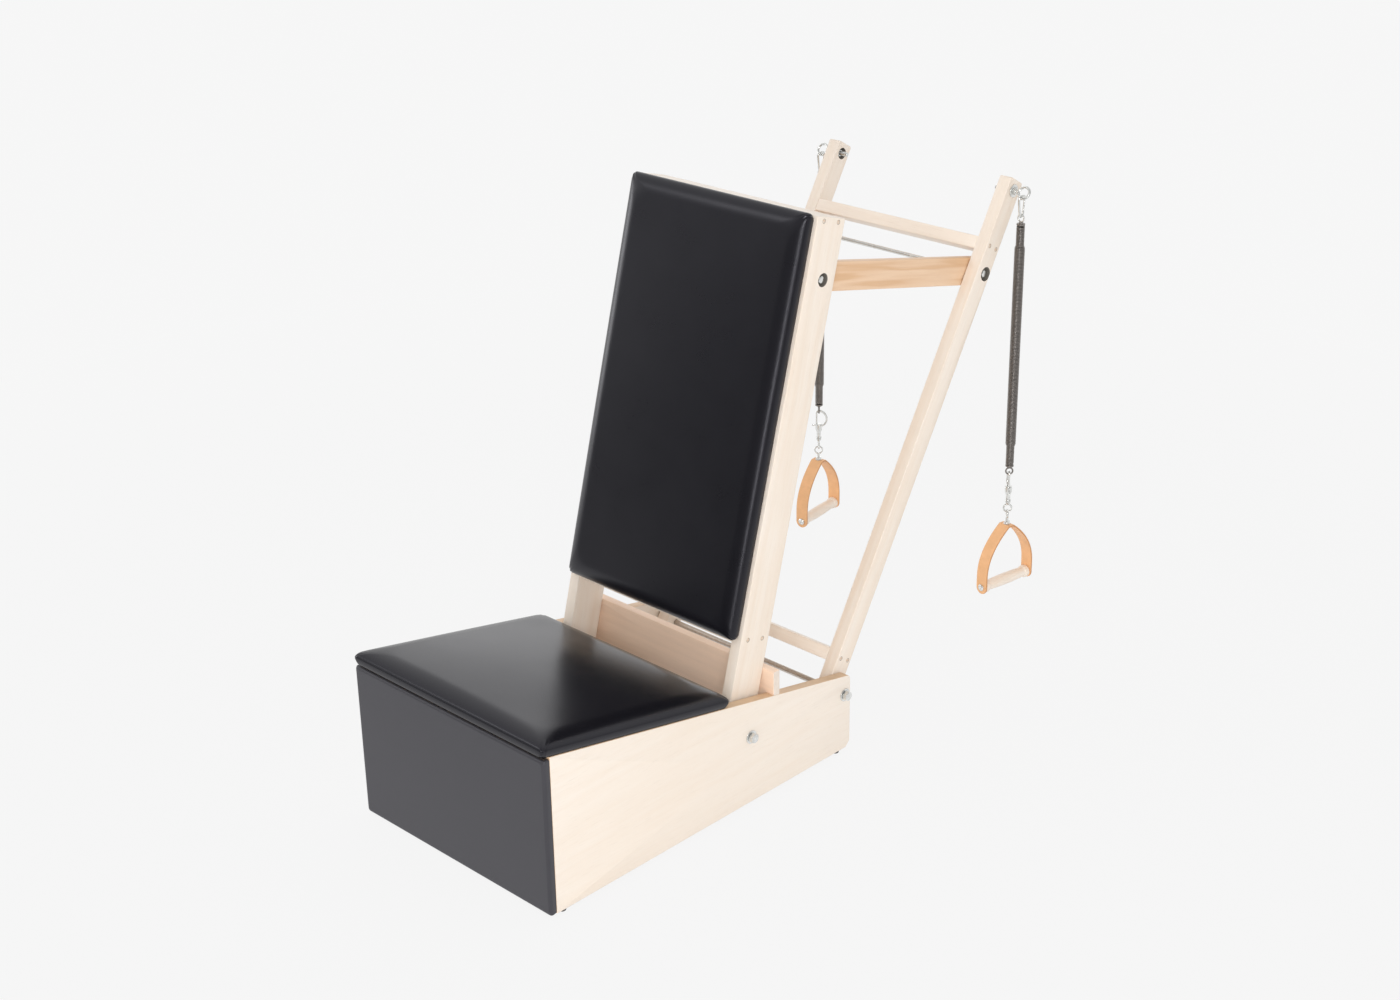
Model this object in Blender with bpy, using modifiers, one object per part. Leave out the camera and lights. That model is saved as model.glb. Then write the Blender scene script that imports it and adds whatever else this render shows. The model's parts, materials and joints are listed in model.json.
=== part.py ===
"""Pilates arm chair: a low box seat whose padded back and rear spring frame
fold forward together on two link bars, with a hanging spring and handle on each side.

Metres, +Z up, the sitter faces -Y, +X is the sitter's left.
Angles are in degrees and lean backwards from the vertical unless a name says otherwise.
"""
import math

import bmesh
import bpy
import numpy as np
from mathutils import Matrix, Vector

# Driving sizes of the base
WIDTH = 0.560
FRONT_Y = -0.7463
BASE_DEPTH = 0.875
FLOOR_GAP = 0.0066
GLIDE_RADIUS = 0.009
GLIDE_FRONT = 0.040
GLIDE_REAR = 0.035
GLIDE_SUNK = 0.002
FRONT_HEIGHT = 0.3455
PANEL_FRONT_TOP = 0.3498
PANEL_REAR_TOP = 0.1793
PANEL_THICK = 0.022
FRONT_THICK = 0.0173
PANEL_CORNER = 0.013
BOARD_EASE = 0.0013
FIT = 0.0003

# Hidden plywood boards and the padding over them
PLY_THICK = 0.012
PLY_RIM = 0.010
PAD_FACE = 0.0065
PAD_WALL = 0.0045
SEAT_LENGTH = 0.5095
SEAT_EDGE = 0.031
SEAT_CROWN = 0.014
BACK_EDGE = 0.031
BACK_CROWN = 0.007

# The two lower pivots, measured from the front face and the floor
BACK_PIVOT = (0.562, 0.1608)
REAR_PIVOT = (0.856, 0.1383)
ROD_RADIUS = 0.00635
LINK_ROD_RADIUS = 0.00475
PIVOT_PLAY = 0.0003

# Upright board that stops the backrest
STOP_FRONT = 0.6313
STOP_THICK = 0.0185
STOP_TOP = 0.2812
STOP_LOW = 0.172

# Backrest frame: s runs through the depth of a post, t along it from the pivot
BACK_LEAN = 15.2
BACK_POST_THICK = 0.026
BACK_POST_OUTER = 0.2504
BACK_POST_FRONT = -0.049
BACK_POST_REAR = 0.035
BACK_POST_LOW = -0.045
BACK_POST_CORNER = 0.0025
BACK_TOP = 1.0634
BACK_LINK_T = 0.940
BACK_RAIL_THICK = 0.020
BACK_LOW_RAIL_T = 0.201
BACK_CUSHION_LOW = 0.199
BACK_CUSHION_HIGH = 1.0665
BACK_CUSHION_HALF = 0.243

# Glued plugs over the rail screws
PLUG_RADIUS = 0.0042
PLUG_SUNK = 0.0005
SUNK_DEPTH = 0.0115

# Rear frame
REAR_LEAN = 30.4
REAR_POST_THICK = 0.0295
REAR_POST_OUTER = 0.2538
REAR_POST_FRONT = -0.0315
REAR_POST_REAR = 0.016
REAR_POST_LOW = -0.030
REAR_POST_CORNER = 0.0055
REAR_TOP = 1.156
REAR_LINK_T = 0.946
REAR_RAIL_HEIGHT = 0.027
REAR_RAIL_TS = (0.0700, 1.0035)
EYE_T = 1.132
EYE_S = -0.008

# Link bars
LINK_OUTER = 0.2225
LINK_THICK = 0.019
LINK_HEIGHT = 0.060
OPEN_PIVOT_PLAY = 0.0017

# Hanging sets
SET_X = 0.2820
EYE_RING = 0.0130
EYE_WIRE = 0.0030
HANDLE_TURN = 8.0
SPRING_CURLS = 31
CURL_POINTS = 8
SPRING_WIRE = 0.0030
SPRING_BODY = 0.0085
SPRING_NECK = 0.00625
SPRING_LENGTH = 0.553
SPRING_NECK_LENGTH = 0.046
LINK_WIRE = 0.0025
LINK_SNAP_LENGTH = 0.045
GATE_RADIUS = 0.0019
END_WIRE = 0.0018
END_RING = 0.0077
PLATE_RADIUS = 0.0098
PLATE_THICK = 0.004
PLATE_NECK = 0.002
HOOK_WIRE = 0.0026
BARREL_TOP = -0.033
BARREL_BOTTOM = -0.070
BARREL_RADIUS = 0.0080
THUMB_U = -0.0054
THUMB_RADIUS = 0.0020
LEVER_RADIUS = 0.0013
SWIVEL_WIRE = 0.0020
SWIVEL_RING = 0.0090
SWIVEL_DROP = 0.0175
SWIVEL_STEM = 0.0023
PLAY = 0.0004

# Handles
STRAP_WIDTH = 0.031
STRAP_THICK = 0.004
STRAP_DROP = 0.0255
GRIP_LENGTH = 0.139
GRIP_RADIUS = 0.0140
HANDLE_SHANK = 0.0032
HANDLE_NUT = 0.0068
GRIP_PIN_RADIUS = 0.003
GRIP_DROP = 0.136

# Nuts, washers and the counterbores that hide them
PIVOT_HEX = 0.0219
PIVOT_HEX_THICK = 0.010
PIVOT_WASHER = 0.0145
LINK_HEX = 0.0165
LINK_HEX_THICK = 0.0075
EYE_HEX_THICK = 0.0065
EYE_WASHER = 0.014
WASHER_THICK = 0.002
BOLT_PAST_NUT = 0.0015
BACK_BORE = 0.0135
REAR_BORE = 0.0150
EYE_BORE = 0.0125

ROUND = 16
SMALL_ROUND = 12
BEYOND = 0.010
PARTS = "pilates_arm_chair"


def clear_scene():
    """Remove every object and the collections of an earlier run."""
    for obj in list(bpy.data.objects):
        bpy.data.objects.remove(obj, do_unlink=True)
    for collection in list(bpy.data.collections):
        bpy.data.collections.remove(collection)


def new_collection(name):
    """Return a new collection linked to the scene."""
    collection = bpy.data.collections.new(name)
    bpy.context.scene.collection.children.link(collection)
    return collection


def material(name, colour, roughness, metallic=0.0):
    """Return a Principled material with plain values."""
    mat = bpy.data.materials.new(name)
    mat.use_nodes = True
    shader = mat.node_tree.nodes["Principled BSDF"]
    shader.inputs["Base Color"].default_value = (*colour, 1.0)
    shader.inputs["Roughness"].default_value = roughness
    shader.inputs["Metallic"].default_value = metallic
    return mat


clear_scene()
parts = new_collection(PARTS)
cutters = new_collection("cutters")

MAPLE = material("maple", (0.86, 0.74, 0.60), 0.45)
MAPLE_EDGE = material("maple_edge", (0.80, 0.60, 0.42), 0.50)
BIRCH_PLY = material("birch_ply", (0.78, 0.64, 0.46), 0.55)
VINYL = material("black_vinyl", (0.012, 0.012, 0.015), 0.38)
LEATHER = material("tan_leather", (0.78, 0.36, 0.14), 0.55)
ZINC = material("zinc_steel", (0.62, 0.65, 0.68), 0.30, 1.0)
SPRING_STEEL = material("dark_spring_steel", (0.10, 0.09, 0.085), 0.35, 0.9)


def empty(name, location, parent=None, turn=(0.0, 0.0, 0.0)):
    """Return an empty that marks a joint axis or a tilted frame, turned by degrees."""
    obj = bpy.data.objects.new(name, None)
    obj.location = location
    obj.rotation_euler = [math.radians(a) for a in turn]
    obj.parent = parent
    parts.objects.link(obj)
    return obj


def place(name, data, mat, parent, location=(0, 0, 0), turn=(0, 0, 0), smooth=None):
    """Make a named object from mesh or curve data, with its material and its place."""
    obj = bpy.data.objects.new(name, data)
    obj.location = location
    obj.rotation_euler = [math.radians(a) for a in turn]
    obj.parent = parent
    if not data.materials:
        data.materials.append(mat)
    parts.objects.link(obj)
    if smooth is not None and obj.type == "MESH":
        data.shade_smooth()
        data.set_sharp_from_angle(angle=math.radians(smooth))
    return obj


def bevel(obj, width, segments=1, angle=40):
    """Ease the edges that turn by more than the angle."""
    mod = obj.modifiers.new("eased_edges", "BEVEL")
    mod.width = width
    mod.segments = segments
    mod.limit_method = "ANGLE"
    mod.angle_limit = math.radians(angle)
    return mod


def box_mesh(name, low, high):
    """Return a box mesh between two corners."""
    bm = bmesh.new()
    bmesh.ops.create_cube(bm, size=1.0)
    low, high = Vector(low), Vector(high)
    for vert in bm.verts:
        vert.co = Vector([low[i] + (vert.co[i] + 0.5) * (high[i] - low[i]) for i in range(3)])
    mesh = bpy.data.meshes.new(name)
    bm.to_mesh(mesh)
    bm.free()
    return mesh


def board(name, low, high, mat, parent, ease=0.0015):
    """Make a board between two corners, with eased edges."""
    obj = place(name, box_mesh(name, low, high), mat, parent)
    if ease:
        bevel(obj, ease)
    return obj


def cylinder_mesh(name, radius, start, end, sides=ROUND, end_radius=None):
    """Return a capped cylinder or cone from one point to another."""
    start, end = Vector(start), Vector(end)
    along = end - start
    bm = bmesh.new()
    bmesh.ops.create_cone(bm, cap_ends=True, segments=sides, radius1=radius,
                          radius2=radius if end_radius is None else end_radius,
                          depth=along.length)
    turn = Vector((0, 0, 1)).rotation_difference(along).to_matrix().to_4x4()
    bm.transform(Matrix.Translation((start + end) / 2) @ turn)
    mesh = bpy.data.meshes.new(name)
    bm.to_mesh(mesh)
    bm.free()
    return mesh


def outline_curve(name, loops, half_thickness):
    """Return a flat 2D curve with holes, as thick as asked."""
    curve = bpy.data.curves.new(name, "CURVE")
    curve.dimensions = "2D"
    curve.fill_mode = "BOTH"
    curve.extrude = half_thickness
    for loop in loops:
        spline = curve.splines.new("POLY")
        spline.points.add(len(loop) - 1)
        for point, (u, v) in zip(spline.points, loop):
            point.co = (u, v, 0.0, 1.0)
        spline.use_cyclic_u = True
    return curve


def arc(centre, radius, start, end, count):
    """Points of an arc in degrees, both ends included."""
    angles = np.radians(np.linspace(start, end, count))
    return [(centre[0] + radius * math.cos(a), centre[1] + radius * math.sin(a)) for a in angles]


def circle(centre, radius, count=ROUND):
    """Points of a full circle."""
    return arc(centre, radius, 0, 360, count + 1)[:-1]


def tube_curve(name, points, radius, cyclic=False, resolution=2, handles=False, steps=3):
    """Return a round tube along points, straight between them or smooth."""
    curve = bpy.data.curves.new(name, "CURVE")
    curve.dimensions = "3D"
    curve.bevel_depth = radius
    curve.bevel_resolution = resolution
    curve.use_fill_caps = True
    if handles:
        curve.resolution_u = steps
        spline = curve.splines.new("BEZIER")
        spline.bezier_points.add(len(points) - 1)
        for point, place_at in zip(spline.bezier_points, points):
            point.co = place_at
            point.handle_left_type = "AUTO"
            point.handle_right_type = "AUTO"
    else:
        spline = curve.splines.new("POLY")
        spline.points.add(len(points) - 1)
        for point, place_at in zip(spline.points, points):
            point.co = (*place_at, 1.0)
    spline.use_cyclic_u = cyclic
    return curve


def ring_points(radius, centre, across, up, count=20):
    """Points of a circle spanned by two directions."""
    centre, across, up = Vector(centre), Vector(across), Vector(up)
    angles = [2 * math.pi * i / count for i in range(count)]
    return [centre + radius * (math.cos(a) * across + math.sin(a) * up) for a in angles]


def solid_mesh(name, data):
    """Turn curve data into a closed mesh."""
    holder = bpy.data.objects.new(name, data)
    cutters.objects.link(holder)
    depsgraph = bpy.context.evaluated_depsgraph_get()
    mesh = bpy.data.meshes.new_from_object(holder.evaluated_get(depsgraph))
    bpy.data.objects.remove(holder, do_unlink=True)
    bm = bmesh.new()
    bm.from_mesh(mesh)
    bmesh.ops.remove_doubles(bm, verts=bm.verts, dist=0.00001)
    bmesh.ops.recalc_face_normals(bm, faces=bm.faces)
    bm.to_mesh(mesh)
    bm.free()
    mesh.materials.clear()
    mesh.name = name
    return mesh


def slab_mesh(name, outline, thickness, to_yz=True):
    """Return a flat slab centred on its own plane, which is YZ unless it is to stay in XY."""
    mesh = solid_mesh(name, outline_curve(name, [outline], thickness / 2))
    bm = bmesh.new()
    bm.from_mesh(mesh)
    bmesh.ops.dissolve_limit(bm, angle_limit=0.001, verts=bm.verts, edges=bm.edges)
    bm.to_mesh(mesh)
    bm.free()
    if to_yz:
        mesh.transform(Matrix(((0, 0, 1, 0), (1, 0, 0, 0), (0, 1, 0, 0), (0, 0, 0, 1))))
    return mesh


def rods_mesh(name, rods, sides=ROUND):
    """Return one mesh of cylinders along X, each given as (y, z, radius, x_from, x_to)."""
    bm = bmesh.new()
    for y, z, radius, x_from, x_to in rods:
        low_x, high_x = sorted((x_from, x_to))
        bm.from_mesh(cylinder_mesh("rod", radius, (low_x, y, z), (high_x, y, z), sides))
    mesh = bpy.data.meshes.new(name)
    bm.to_mesh(mesh)
    bm.free()
    return mesh


def turned_mesh(name, profile, axis="Z", sides=ROUND):
    """Return a turned solid: its (radius, height) profile runs from the top down the outside."""
    mesh = bpy.data.meshes.new(name)
    verts = [(r, 0.0, z) for r, z in profile]
    edges = [(i, i + 1) for i in range(len(profile) - 1)]
    if profile[0][0] > 0 and profile[-1][0] > 0:
        edges.append((len(profile) - 1, 0))
    mesh.from_pydata(verts, edges, [])
    holder = bpy.data.objects.new(name, mesh)
    cutters.objects.link(holder)
    screw = holder.modifiers.new("turned", "SCREW")
    screw.steps = sides
    screw.render_steps = sides
    screw.use_merge_vertices = True
    screw.merge_threshold = 0.00001
    depsgraph = bpy.context.evaluated_depsgraph_get()
    solid = bpy.data.meshes.new_from_object(holder.evaluated_get(depsgraph))
    bpy.data.objects.remove(holder, do_unlink=True)
    turn = {"Z": Matrix.Identity(4), "X": Matrix.Rotation(math.pi / 2, 4, "Y"),
            "Y": Matrix.Rotation(-math.pi / 2, 4, "X")}[axis]
    solid.transform(turn)
    bm = bmesh.new()
    bm.from_mesh(solid)
    bmesh.ops.remove_doubles(bm, verts=bm.verts, dist=0.00001)
    bmesh.ops.recalc_face_normals(bm, faces=bm.faces)
    bm.to_mesh(solid)
    bm.free()
    return solid


def cutter(name, data, parent, location=(0, 0, 0), turn=(0, 0, 0)):
    """Make a hidden object for a Boolean."""
    obj = bpy.data.objects.new(name, data)
    obj.location = location
    obj.rotation_euler = [math.radians(a) for a in turn]
    obj.parent = parent
    obj.hide_render = True
    obj.display_type = "WIRE"
    cutters.objects.link(obj)
    return obj


def combine(obj, other, operation):
    """Cut away, or join on, another object."""
    mod = obj.modifiers.new(other.name, "BOOLEAN")
    mod.operation = operation
    mod.object = other
    mod.solver = "EXACT"
    return mod


def hex_nut_mesh(name, across_corners, bore, thickness):
    """Return a hexagon along X, centred on the origin, with a bore when one is asked for."""
    loops = [arc((0, 0), across_corners / 2, 0, 300, 6)]
    if bore:
        loops.append(circle((0, 0), bore))
    mesh = solid_mesh(name, outline_curve(name, loops, thickness / 2))
    mesh.transform(Matrix.Rotation(math.pi / 2, 4, "Y"))
    return mesh


def washer_mesh(name, radius, bore, thickness):
    """Return a washer along X, centred on the origin."""
    half = thickness / 2
    profile = [(bore, half), (radius, half), (radius, -half), (bore, -half)]
    return turned_mesh(name, profile, "X", SMALL_ROUND)


def cushion_mesh(name, low, high, crown, draw_in, cuts=4):
    """Return a coarse cage of a crowned cushion: its loops sit close to the edges, its
    sides draw in towards the bottom and its top rises to the crown."""
    bm = bmesh.new()
    bmesh.ops.create_cube(bm, size=2.0)
    bmesh.ops.subdivide_edges(bm, edges=bm.edges, cuts=cuts, use_grid_fill=True)
    low, high = Vector(low), Vector(high)
    middle, half = (low + high) / 2, (high - low) / 2
    edge_loop = {1.0: 1.0, 0.6: 0.94, 0.2: 0.48}
    height_loop = {1.0: 1.0, 0.6: 0.62, 0.2: 0.20}
    for vert in bm.verts:
        u, v, w = vert.co
        u = math.copysign(edge_loop[round(abs(u), 1)], u)
        v = math.copysign(edge_loop[round(abs(v), 1)], v)
        w = math.copysign(height_loop[round(abs(w), 1)], w)
        inset = draw_in * max(0.0, -w) ** 2 + 0.5 * draw_in * max(0.0, w) ** 4
        rise = crown * (1 - u ** 2) * (1 - v ** 2) if w == 1.0 else 0.0
        vert.co = Vector((middle.x + u * (half.x - inset), middle.y + v * (half.y - inset),
                          middle.z + w * half.z + rise))
    mesh = bpy.data.meshes.new(name)
    bm.to_mesh(mesh)
    bm.free()
    return mesh


def cushion(name, low, high, crown, draw_in, parent, pocket_low, pocket_high, turn=(0, 0, 0),
            location=(0, 0, 0)):
    """Make a soft crowned cushion whose underside has a pocket for its board."""
    obj = place(name, cushion_mesh(name, low, high, crown, draw_in), VINYL, parent, location, turn)
    soft = obj.modifiers.new("soft", "SUBSURF")
    soft.levels = 1
    soft.render_levels = 1
    pocket = cutter(name + "_pocket", box_mesh(name + "_pocket", pocket_low, pocket_high), parent,
                    location, turn)
    combine(obj, pocket, "DIFFERENCE")
    return obj


def both_sides(function, *args):
    """Run a builder for the sitter's left and right side."""
    for side, label in ((1, "left"), (-1, "right")):
        function(side, label, *args)


# Frames of reference: base, sloping seat plane, backrest and rear frame
half_width = WIDTH / 2
panel_inner = half_width - PANEL_THICK
back_axis_at = (0, FRONT_Y + BACK_PIVOT[0], BACK_PIVOT[1])
rear_axis_at = (0, FRONT_Y + REAR_PIVOT[0], REAR_PIVOT[1])
seat_slope = math.degrees(math.atan2(PANEL_FRONT_TOP - PANEL_REAR_TOP, BASE_DEPTH - FRONT_THICK))
slope_front_z = PANEL_FRONT_TOP + FRONT_THICK * math.tan(math.radians(seat_slope))

base = empty("base_frame", (0, FRONT_Y, 0))
seat_plane = empty("seat_plane", (0, 0, slope_front_z), base, (-seat_slope, 0, 0))
backrest = empty("backrest_axis", back_axis_at, None, (-BACK_LEAN, 0, 0))
rear = empty("rear_frame_axis", rear_axis_at, None, (-REAR_LEAN, 0, 0))


def leaning_point(axis_at, lean, t, s=0.0):
    """World point on a leaning frame at the distance t from its axis and s behind it."""
    a = math.radians(lean)
    return Vector((0, axis_at[1] + t * math.sin(a) + s * math.cos(a),
                   axis_at[2] + t * math.cos(a) - s * math.sin(a)))


def side_panel(side, label):
    """Tapered side panel with a rounded top corner and a cut lower corner at the rear, and
    two glides pressed into its lower edge."""
    slope = math.radians(seat_slope)
    top_at_arc = PANEL_REAR_TOP + PANEL_CORNER * math.tan(slope)
    arc_middle = (BASE_DEPTH - PANEL_CORNER, top_at_arc - PANEL_CORNER / math.cos(slope))
    outline = [(FRONT_THICK + FIT, FLOOR_GAP), (BASE_DEPTH - PANEL_CORNER, FLOOR_GAP),
               (BASE_DEPTH, FLOOR_GAP + PANEL_CORNER)]
    outline += arc(arc_middle, PANEL_CORNER, 0, 90 - seat_slope, 6)
    outline.append((FRONT_THICK + FIT, PANEL_FRONT_TOP))
    name = "side_panel_" + label
    x = side * (half_width - PANEL_THICK / 2)
    obj = place(name, slab_mesh(name, outline, PANEL_THICK), MAPLE, base, (x, 0, 0))
    bevel(obj, BOARD_EASE)
    reach = (side * (panel_inner - BEYOND), side * (half_width + BEYOND))
    holes = [(y, z, ROD_RADIUS + PIVOT_PLAY, *reach) for y, z in (BACK_PIVOT, REAR_PIVOT)]
    combine(obj, cutter(name + "_holes", rods_mesh("holes", holes), base), "DIFFERENCE")
    for where, y in (("front", GLIDE_FRONT), ("rear", BASE_DEPTH - GLIDE_REAR)):
        glide = cylinder_mesh("glide", 0.83 * GLIDE_RADIUS, (x, y, 0), (x, y, FLOOR_GAP + GLIDE_SUNK),
                              SMALL_ROUND, GLIDE_RADIUS)
        combine(obj, cutter(name + "_glide_" + where, glide, base), "UNION")


def front_board_and_pad():
    """Plywood front board, and the padded vinyl that wraps its face and its edges."""
    inner = half_width - PAD_WALL
    low, high = FLOOR_GAP + PAD_WALL, FRONT_HEIGHT - PAD_WALL
    board("front_board", (-inner + FIT, PAD_FACE + FIT, low + FIT), (inner - FIT, FRONT_THICK, high - FIT),
          BIRCH_PLY, base, 0)
    cover = box_mesh("front_pad", (-half_width, 0, FLOOR_GAP), (half_width, FRONT_THICK, FRONT_HEIGHT))
    pad = place("front_pad", cover, VINYL, base, smooth=60)
    bevel(pad, 0.9 * PAD_WALL, 3)
    pocket = box_mesh("pocket", (-inner, PAD_FACE, low), (inner, FRONT_THICK + BEYOND, high))
    combine(pad, cutter("front_pocket", pocket, base), "DIFFERENCE")


def seat():
    """Seat board and crowned cushion on the sloping top edges."""
    side = half_width - PLY_RIM
    end = SEAT_LENGTH - PLY_RIM
    overhang = 0.001
    board("seat_board", (-side, PLY_RIM, FIT), (side, end, PLY_THICK), BIRCH_PLY, seat_plane, 0)
    cushion("seat_cushion", (-half_width - overhang, -2 * overhang, FIT),
            (half_width + overhang, SEAT_LENGTH, SEAT_EDGE), SEAT_CROWN, 0.004, seat_plane,
            (-side - FIT, PLY_RIM - FIT, -BEYOND), (side + FIT, end + FIT, PLY_THICK + FIT))


def stop_board():
    """Upright board across the side panels that the backrest posts lean on. Its ears rest
    on the panels' sloping edges and its middle drops between the panels."""
    inner = panel_inner - 0.0005
    ear_low = 0.20
    half = [(half_width, STOP_TOP), (half_width, ear_low), (inner, ear_low), (inner, STOP_LOW)]
    outline = half + [(-x, z) for x, z in reversed(half)]
    mesh = slab_mesh("stop_board", outline, STOP_THICK, False)
    mesh.transform(Matrix.Rotation(math.pi / 2, 4, "X"))
    obj = place("stop_board", mesh, MAPLE, base, (0, STOP_FRONT + STOP_THICK / 2, 0))
    for side, label in ((1, "left"), (-1, "right")):
        low_x, high_x = sorted((side * (inner - 0.0001), side * (half_width + BEYOND)))
        bed = box_mesh("bed", (low_x, STOP_FRONT - 0.2, -0.08), (high_x, STOP_FRONT + 0.2, FIT))
        combine(obj, cutter("stop_bed_" + label, bed, seat_plane), "DIFFERENCE")
    bevel(obj, BOARD_EASE)


def nut(name, frame, x, y, z, across_corners, bore, thickness):
    """Hexagon nut on an axis along X."""
    return place(name, hex_nut_mesh(name, across_corners, bore, thickness), ZINC, frame, (x, y, z))


def bolt(name, frame, y, z, radius, head_from, head_thick, across_corners):
    """Long bolt along X with a hexagon head on the left and a plain end past its nut on the right."""
    head_to = head_from + head_thick
    shank = cylinder_mesh(name, radius, (-head_to - BOLT_PAST_NUT, 0, 0), (head_to - 0.001, 0, 0))
    obj = place(name, shank, ZINC, frame, (0, y, z), smooth=40)
    bevel(obj, 0.0007)
    head = hex_nut_mesh("head", across_corners, 0.0, head_thick)
    combine(obj, cutter(name + "_head", head, frame, ((head_from + head_to) / 2, y, z)), "UNION")


def base_pivots():
    """The two through bolts of the base, each with a washer and a nut or head outside the panels."""
    washer_x = half_width + FIT + WASHER_THICK / 2
    head_from = half_width + 2 * FIT + WASHER_THICK
    bore = ROD_RADIUS + PIVOT_PLAY
    for name, (y, z) in (("back_pivot", BACK_PIVOT), ("rear_pivot", REAR_PIVOT)):
        bolt(name + "_bolt", base, y, z, ROD_RADIUS, head_from, PIVOT_HEX_THICK, PIVOT_HEX)
        nut(name + "_nut", base, -head_from - PIVOT_HEX_THICK / 2, y, z, PIVOT_HEX, bore, PIVOT_HEX_THICK)
        for side, label in ((1, "left"), (-1, "right")):
            washer = name + "_washer_" + label
            mesh = washer_mesh(washer, PIVOT_WASHER, bore, WASHER_THICK)
            place(washer, mesh, ZINC, base, (side * washer_x, y, z), smooth=40)


def post(name, side, frame, outer, thick, edges, ends, head_corner, holes, bores, plugs):
    """Wooden post in a leaning frame: round lower end, eased top corners, through holes,
    counterbores and the ends of the glued plugs that cover its rail screws."""
    front, back = edges
    low, high = ends
    lower = (back - front) / 2
    outline = arc((front + lower, low + lower), lower, 180, 360, 9)
    outline += arc((back - head_corner, high - head_corner), head_corner, 0, 90, 3)
    outline += arc((front + head_corner, high - head_corner), head_corner, 90, 180, 3)
    obj = place(name, slab_mesh(name, outline, thick), MAPLE, frame, (side * (outer - thick / 2), 0, 0))
    bevel(obj, BOARD_EASE, 1, 50)
    inner = outer - thick
    outside = outer + BEYOND
    through = [(s, t, r, side * (inner - BEYOND), side * outside) for s, t, r in holes]
    combine(obj, cutter(name + "_holes", rods_mesh("holes", through, 14), frame), "DIFFERENCE")
    sunk = [(s, t, r, side * start, side * end) for s, t, r, start, end in bores]
    combine(obj, cutter(name + "_bores", rods_mesh("bores", sunk), frame), "DIFFERENCE")
    ends_of_plugs = [(s, t, PLUG_RADIUS, side * (outer - PLUG_SUNK), side * outside) for s, t in plugs]
    combine(obj, cutter(name + "_plugs", rods_mesh("plugs", ends_of_plugs, 10), frame), "DIFFERENCE")


back_plug_s = (-0.029, 0.015)
back_plugs = [(s, t) for t in (BACK_LOW_RAIL_T, BACK_TOP - 0.0085) for s in back_plug_s]


def back_post(side, label):
    """One deep post of the backrest, with the link bolt's head or nut sunk in its outer face."""
    holes = [(0, 0, ROD_RADIUS + PIVOT_PLAY), (0, BACK_LINK_T, LINK_ROD_RADIUS + PIVOT_PLAY)]
    bores = [(0, BACK_LINK_T, BACK_BORE, BACK_POST_OUTER - SUNK_DEPTH, BACK_POST_OUTER + BEYOND)]
    post("back_post_" + label, side, backrest, BACK_POST_OUTER, BACK_POST_THICK,
         (BACK_POST_FRONT, BACK_POST_REAR), (BACK_POST_LOW, BACK_TOP), BACK_POST_CORNER,
         holes, bores, back_plugs)


def back_frame():
    """Top and lower rails between the posts, laid flat across their depth, and the padded board."""
    inner = BACK_POST_OUTER - BACK_POST_THICK - FIT
    half = BACK_RAIL_THICK / 2
    front, back = BACK_POST_FRONT + 0.0005, BACK_POST_REAR - 0.0005
    for name, middle in (("back_top_rail", BACK_TOP - half), ("back_lower_rail", BACK_LOW_RAIL_T)):
        board(name, (-inner, front, middle - half), (inner, back, middle + half), MAPLE_EDGE, backrest)
    face = BACK_POST_FRONT - FIT
    side = BACK_CUSHION_HALF - PLY_RIM
    low, high = BACK_CUSHION_LOW + PLY_RIM, BACK_CUSHION_HIGH - PLY_RIM
    board("back_board", (-side, face - PLY_THICK, low), (side, face, high), BIRCH_PLY, backrest, 0)
    # The cage lies on its back: its height runs along -s
    cushion("back_cushion", (-BACK_CUSHION_HALF, BACK_CUSHION_LOW, -face),
            (BACK_CUSHION_HALF, BACK_CUSHION_HIGH, -face + BACK_EDGE), BACK_CROWN, 0.003, backrest,
            (-side - FIT, low - FIT, -face - BEYOND),
            (side + FIT, high + FIT, -face + PLY_THICK + FIT), (90, 0, 0))


def link_bolt(name, frame, t, outer):
    """Bolt between the two posts of a frame, its head and its nut sunk in their outer faces."""
    bed = outer - SUNK_DEPTH + FIT
    bolt(name + "_bolt", frame, 0, t, LINK_ROD_RADIUS, bed, LINK_HEX_THICK, LINK_HEX)
    nut(name + "_nut", frame, -bed - LINK_HEX_THICK / 2, 0, t, LINK_HEX, LINK_ROD_RADIUS + PIVOT_PLAY,
        LINK_HEX_THICK)


back_link_at = leaning_point(back_axis_at, BACK_LEAN, BACK_LINK_T)
rear_link_at = leaning_point(rear_axis_at, REAR_LEAN, REAR_LINK_T)
link_run = rear_link_at - back_link_at
link_fall = math.degrees(math.atan2(-link_run.z, link_run.y))
links = empty("link_axis", back_link_at, None, (-link_fall, 0, 0))


def link_bar(side, label):
    """Flat wooden link with round ends. Its rear hole has extra play."""
    radius = LINK_HEIGHT / 2
    length = link_run.length
    outline = arc((0, 0), radius, 90, 270, 9) + arc((length, 0), radius, -90, 90, 9)
    name = "link_bar_" + label
    obj = place(name, slab_mesh(name, outline, LINK_THICK), MAPLE_EDGE, links,
                (side * (LINK_OUTER - LINK_THICK / 2), 0, 0))
    bevel(obj, BOARD_EASE, 1, 50)
    reach = (side * (LINK_OUTER - LINK_THICK - BEYOND), side * (LINK_OUTER + BEYOND))
    holes = [(0, 0, LINK_ROD_RADIUS + PIVOT_PLAY, *reach),
             (length, 0, LINK_ROD_RADIUS + OPEN_PIVOT_PLAY, *reach)]
    combine(obj, cutter(name + "_holes", rods_mesh("holes", holes), links), "DIFFERENCE")


rear_plug_s = (-0.0205, 0.005)
rear_plugs = [(s, t) for t in REAR_RAIL_TS for s in rear_plug_s]


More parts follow.
